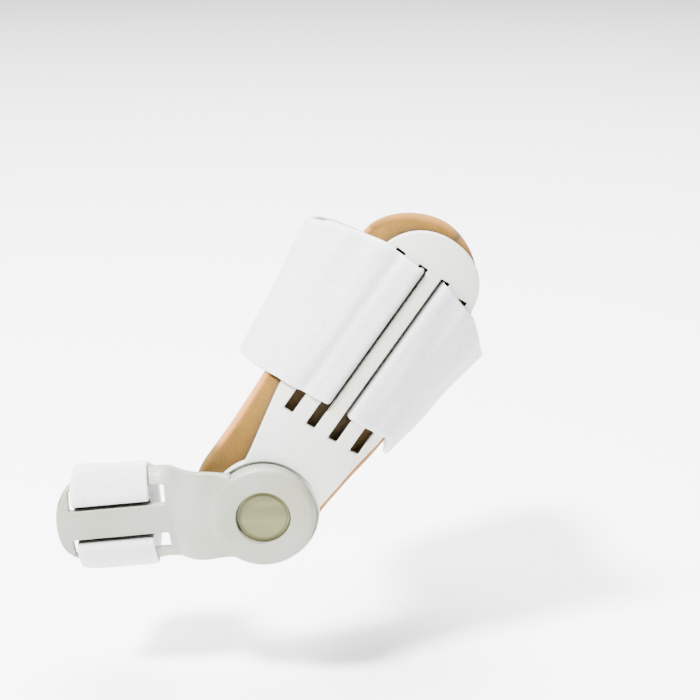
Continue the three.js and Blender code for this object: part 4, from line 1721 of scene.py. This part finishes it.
        level = self.arm.front(x, np.zeros_like(x))
        rows = []
        for down, side, away, drifted in self.course:
            along = flared(int(side), 1.0 - down) + drifted * drift
            across = side * away * reach[int(side)]
            rows.append(np.stack([along, level + down * depth, across], -1))
        behind = np.stack(rows)
        out = np.concatenate([over_bar(1), off_edge(1)])
        home = np.concatenate([over_bar(-1), off_edge(-1)])[::-1]
        return np.concatenate([out, behind, home]), len(out), len(behind)

    def centre(self, x: Array, share: Array) -> Array:
        """The strap's whole course: under end, round, behind the middle bar, round again, top end.

        Args:
            x: Places along the arm.
            share: Share of the way across the strap of each column.

        Returns:
            Points by station and column, closely spaced.
        """
        control, before, free = self.loop_points(x, share)
        from_share, to_share, ramp = self.lap

        def place(portion: float) -> float:
            """Place among the control points of a share of the free course."""
            return before - 1 + portion * (free + 1)

        start = place(from_share)
        under = catmull(control, np.linspace(start, len(control) - 1, self.half_course_steps))
        places = np.linspace(0, place(to_share), self.half_course_steps)
        top = catmull(control, places)
        rise = (self.thickness + self.lap_gap) * ease(places, place(from_share - ramp), start)
        top = top + self.normals(top) * rise[:, None, None]
        minus = self.through_slot(x, -1)[::-1]
        plus = self.through_slot(x, 1)[1:]
        return np.concatenate([under, minus, plus, top])

    @staticmethod
    def normals(points: Array) -> Array:
        """Unit vectors out of the loop, square to the course in the plane of y and z.

        Args:
            points: The course by station and column.

        Returns:
            A vector for each point.
        """
        along = np.gradient(points, axis=0)
        out = np.stack([np.zeros(points.shape[:2]), -along[..., 2], along[..., 1]], -1)
        return out / np.maximum(np.linalg.norm(out, axis=-1, keepdims=True), NO_LENGTH)

    def across(self) -> Array:
        """Distances across the strap, close together at its two edges.

        Returns:
            Distances from the first edge.
        """
        close = np.array(self.edge_steps)
        first, last = close[-1], self.width - close[-1]
        cells = math.ceil((self.width - 2 * first) / self.spacing)
        return np.concatenate([close, np.linspace(first, last, cells + 1)[1:-1], self.width - close[::-1]])

    def relief(self, u: Array, v: Array, centre: Array) -> Array:
        """Heights of the soft folds and lumps on the outer face, in millimetres, nil in the slots.

        Args:
            u: Distances along the strap.
            v: Distances across it.
            centre: Its course by station and column.

        Returns:
            A height for each point.
        """
        free = ease(np.abs(centre[..., 2]), self.fold_edge, self.fold_edge + self.relief_fade)
        folds = ripple(u, v, *self.fold_waves, self.fold_stretch, self.seed)
        lumps = ripple(u, v, *self.lump_waves, self.lump_stretch, self.seed + 1)
        return free * (self.fold * folds + self.lump * lumps)

    def sag(self, centre: Array) -> Array:
        """Depth to which the strap sinks into outer slots that it lies over, here none."""
        return np.zeros(centre.shape[:2])

    def painted_slot_shade(self, ring: Array) -> Array:
        """Vectors whose first part, painted shade, is 1 where the strap turns in a slot, and falls to 0
        beside it.

        Args:
            ring: The band's points by station and column.

        Returns:
            A vector for each point.
        """
        x, y, z = np.moveaxis(ring, -1, 0)
        turn = self.bar_half_width + self.clearance
        beside = ease(np.abs(z), turn + self.painted_slot_shade_span[0], turn + self.painted_slot_shade_span[1])
        # Painted shade on the strap where it turns round the bar inside the slot.
        dark = (1 - beside) * (y < self.arm.front(x, z * 0) + self.painted_slot_shade_depth)
        return dark[..., None] * np.array([1.0, 0.0, 0.0])

    def stations(self, coarse: Array) -> tuple[Array, Array]:
        """Even stations along the strap's middle, close together at its two ends.

        Args:
            coarse: The course by station and column.

        Returns:
            Distances from the first end, and the stations' places on the course.
        """
        middle = coarse.shape[1] // 2
        places = np.linspace(0, len(coarse) - 1, self.measuring_steps)
        line = catmull(coarse[:, middle:middle + 1], places)[:, 0]
        reached = np.append(0, np.cumsum(np.linalg.norm(np.diff(line, axis=0), axis=1)))
        close = np.array(self.edge_steps)
        first, last = close[-1], reached[-1] - close[-1]
        inner = np.linspace(first, last, math.ceil(reached[-1] / self.spacing))[1:-1]
        u = np.concatenate([close, inner, reached[-1] - close[::-1]])
        LOG.info("%s: %.0f mm long and %.1f mm wide", self.name, reached[-1], self.width)
        return u, np.interp(u, reached, places)

    def build(self, finish: LoopCloth) -> bpy.types.Object:
        """Make the strap's closed band and dress it.

        The band is the course with half its thickness laid off to each side. At the edges and the ends
        the half thickness falls to nil as a quarter of a circle.

        Args:
            finish: Finish of the cloth.

        Returns:
            The piece.
        """
        v = self.across()
        share = v / self.width
        coarse = self.centre(self.start + v, share)
        u, places = self.stations(coarse)
        centre = catmull(coarse, places)
        half = self.thickness / 2
        edge_near = np.minimum(v, self.width - v)[None, :]
        end_near = np.minimum(u, u[-1] - u)[:, None]
        near = np.minimum(np.minimum(edge_near, end_near), half)
        profile = half * np.sqrt(np.maximum(1 - ((half - near) / half) ** 2, 0.0))
        out = self.normals(centre)
        lift = self.relief(u[:, None], v[None, :], centre) * np.minimum(profile / half, 1.0)
        sunk = self.sag(centre)
        outer = centre + out * (profile + lift - sunk)[..., None]
        inner = centre - out * (profile + sunk)[..., None]
        ring = np.concatenate([outer, inner[:, ::-1][:, 1:]], 1)
        v_ring = np.concatenate([v, v[::-1][1:]])
        shape = ring.shape[:2]
        weave = np.stack([
            np.broadcast_to(u[:, None], shape),
            np.broadcast_to(v_ring[None, :], shape),
            np.broadcast_to(np.minimum(v_ring, self.width - v_ring)[None, :], shape),
        ], -1) * MM
        points = self.arm.turn.place(ring.reshape(-1, 3))
        # The second attribute holds the painted shade inside the slots.
        layers = {"weave": weave.reshape(-1, 3), "wear": self.painted_slot_shade(ring).reshape(-1, 3)}
        made = mesh_object(self.name, [(points, grid_faces(*shape))], **layers)
        dress(made, finish.material(), self.body, "strap", self.node)
        return made


@dataclass
class FootStrap(StrapLoop):
    """Wide strap of the foot arm, which sinks a little into the outer slots.

    The pairs sink and sink_width are those of the plus side's slot and of the minus side's.
    """

    slot_middle: float = 12.7
    sink: Span = (1.15, 0.30)
    sink_width: Span = (1.7, 1.25)
    front_limit: float = 6.0

    def sag(self, centre: Array) -> Array:
        """A bell curve across each outer slot, on the front of the arm only.

        Args:
            centre: The course by station and column.

        Returns:
            A depth for each point.
        """
        z = centre[..., 2]
        plus = self.sink[0] * np.exp(-(((z - self.slot_middle) / self.sink_width[0]) ** 2))
        minus = self.sink[1] * np.exp(-(((z + self.slot_middle) / self.sink_width[1]) ** 2))
        return (plus + minus) * (centre[..., 1] < self.front_limit)


def foot_strap(arm: FootArm) -> FootStrap:
    """The wide strap of the foot arm, with its own course.

    Args:
        arm: The arm that it is threaded through.

    Returns:
        The strap, not yet built.
    """
    return FootStrap(
        name="foot_strap_band", node="foot_strap", body=Body.FOOT, arm=arm, start=40.8, width=51.7,
        bar_half_width=2.95, arrive=62.0, leave=38.0,
        depth=(76.0, 82.0), reach_plus=(31.5, 37.5), reach_minus=(25.0, 31.8), drift=(-9.5, -14.5),
        flare_up=(-2.8, 0.0), flare_down=(0.0, -4.2),
        course=np.array([
            (0.17, 1, 0.86, 0.42), (0.30, 1, 0.96, 0.72), (0.46, 1, 1.00, 1.00), (0.70, 1, 0.83, 1.10),
            (0.90, 1, 0.48, 1.10), (1.00, 1, 0.00, 1.10), (0.96, -1, 0.50, 1.10), (0.80, -1, 0.86, 1.10),
            (0.52, -1, 1.00, 1.05), (0.28, -1, 1.00, 0.90), (0.14, -1, 0.88, 0.60),
        ]),
        lap=(0.34, 0.60, 0.08), spacing=0.8, seed=11, fold=0.55,
    )


def toe_strap(arm: ToeArm) -> StrapLoop:
    """The narrow strap of the toe arm, with its own course.

    Args:
        arm: The arm that it is threaded through.

    Returns:
        The strap, not yet built.
    """
    return StrapLoop(
        name="toe_strap_band", node="toe_strap", body=Body.TOE, arm=arm, start=36.4, width=25.0,
        bar_half_width=5.7, arrive=48.0, leave=0.0,
        depth=(27.0, 25.0), reach_plus=(14.1, 13.1), reach_minus=(12.7, 14.8), drift=(0.0, 0.0),
        flare_up=(0.0, 0.0), flare_down=(0.0, 0.0),
        course=np.array([
            (0.54, 1, 1.06, 0.0), (0.76, 1, 0.90, 0.0), (0.93, 1, 0.52, 0.0), (1.00, 1, 0.00, 0.0),
            (0.93, -1, 0.52, 0.0), (0.76, -1, 0.90, 0.0), (0.54, -1, 1.06, 0.0),
        ]),
        lap=(0.36, 0.66, 0.08), spacing=0.6, seed=31, fold=0.08,
    )


# The studio


@dataclass(frozen=True)
class Lamp:
    """A soft square light that faces the object: its place and size in metres, and its power in watts."""

    name: str
    place: Triple
    size: float
    power: float


@dataclass
class Studio:
    """Pale floor, soft light and the camera. Lengths are in metres, the lens and sensor in millimetres."""

    camera_place: Triple = (0.02746, -0.5694, 0.2258)
    camera_tilt: float = 17.0
    lens: float = 97.2
    sensor: float = 36.0
    nearest: float = 0.01
    lit_place: Triple = (0.0, 0.02, 0.03)
    floor_level: float = -0.062
    floor_reach: float = 6.0
    sky: float = 0.24
    lamps: tuple[Lamp, ...] = (
        Lamp("key_light", (-0.50, -0.50, 1.10), 0.22, 100.0),
        Lamp("top_light", (0.05, 0.50, 1.60), 1.3, 160.0),
    )

    def camera(self) -> None:
        """Camera at the photograph's place and angle, level across."""
        data = bpy.data.cameras.new("camera")
        data.lens = self.lens
        data.sensor_width = self.sensor
        data.clip_start = self.nearest
        made = bpy.data.objects.new("camera", data)
        made.location = self.camera_place
        made.rotation_euler = (math.radians(90.0 - self.camera_tilt), 0.0, 0.0)
        bpy.context.scene.collection.objects.link(made)
        bpy.context.scene.camera = made

    def lights(self) -> None:
        """Soft lamps that face the object's middle, and an even pale sky."""
        for lamp in self.lamps:
            data = bpy.data.lights.new(lamp.name, "AREA")
            data.energy = lamp.power
            data.size = lamp.size
            made = bpy.data.objects.new(lamp.name, data)
            made.location = lamp.place
            way = np.array(self.lit_place) - np.array(lamp.place)
            flat = math.hypot(way[0], way[1])
            made.rotation_euler = (math.atan2(flat, -way[2]), 0.0, math.atan2(-way[0], way[1]))
            bpy.context.scene.collection.objects.link(made)
        world = bpy.data.worlds.new("pale_sky")
        world.use_nodes = True
        sky = world.node_tree.nodes["Background"]
        sky.inputs["Color"].default_value = (1.0, 1.0, 1.0, 1.0)
        sky.inputs["Strength"].default_value = self.sky
        bpy.context.scene.world = world

    def floor(self, finish: PaleFloor) -> None:
        """Flat pale square well under the object.

        Args:
            finish: Finish of the floor.
        """
        reach = self.floor_reach
        corners = [(-reach, -reach), (reach, -reach), (reach, reach), (-reach, reach)]
        points = np.column_stack([corners, np.full(4, self.floor_level)])
        mesh = bpy.data.meshes.new("floor")
        mesh.from_pydata(points.tolist(), [], [[0, 1, 2, 3]])
        mesh.materials.append(finish.material())
        made = bpy.data.objects.new("floor", mesh)
        bpy.context.scene.collection.objects.link(made)


def main() -> None:
    """Load the part, build each sub-assembly in order and light it."""
    logging.basicConfig(level=logging.INFO, format="%(name)s %(message)s")
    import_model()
    studio = Studio()
    studio.camera()
    foot_plastic = MouldedPlastic("foot_arm_plastic", (0.540, 0.553, 0.528), (0.520, 0.525, 0.460))
    # The toe arm's copy of the plastic is much darker than the foot arm's: painted shade on the same
    # plastic.
    toe_plastic_painted_shade = MouldedPlastic("toe_arm_plastic_painted_shade", (0.240, 0.247, 0.206), (0.210, 0.213, 0.158))
    cloth = LoopCloth()
    foot = FootArm()
    toe = ToeArm()
    foot.build(foot_plastic)
    toe.build(toe_plastic_painted_shade)
    HingeRivet().build(ChampagneCap())
    FoamPad(foot).build(TanFoam())
    foot_strap(foot).build(cloth)
    toe_strap(toe).build(cloth)
    studio.lights()
    studio.floor(PaleFloor())


if __name__ == "__main__":
    main()
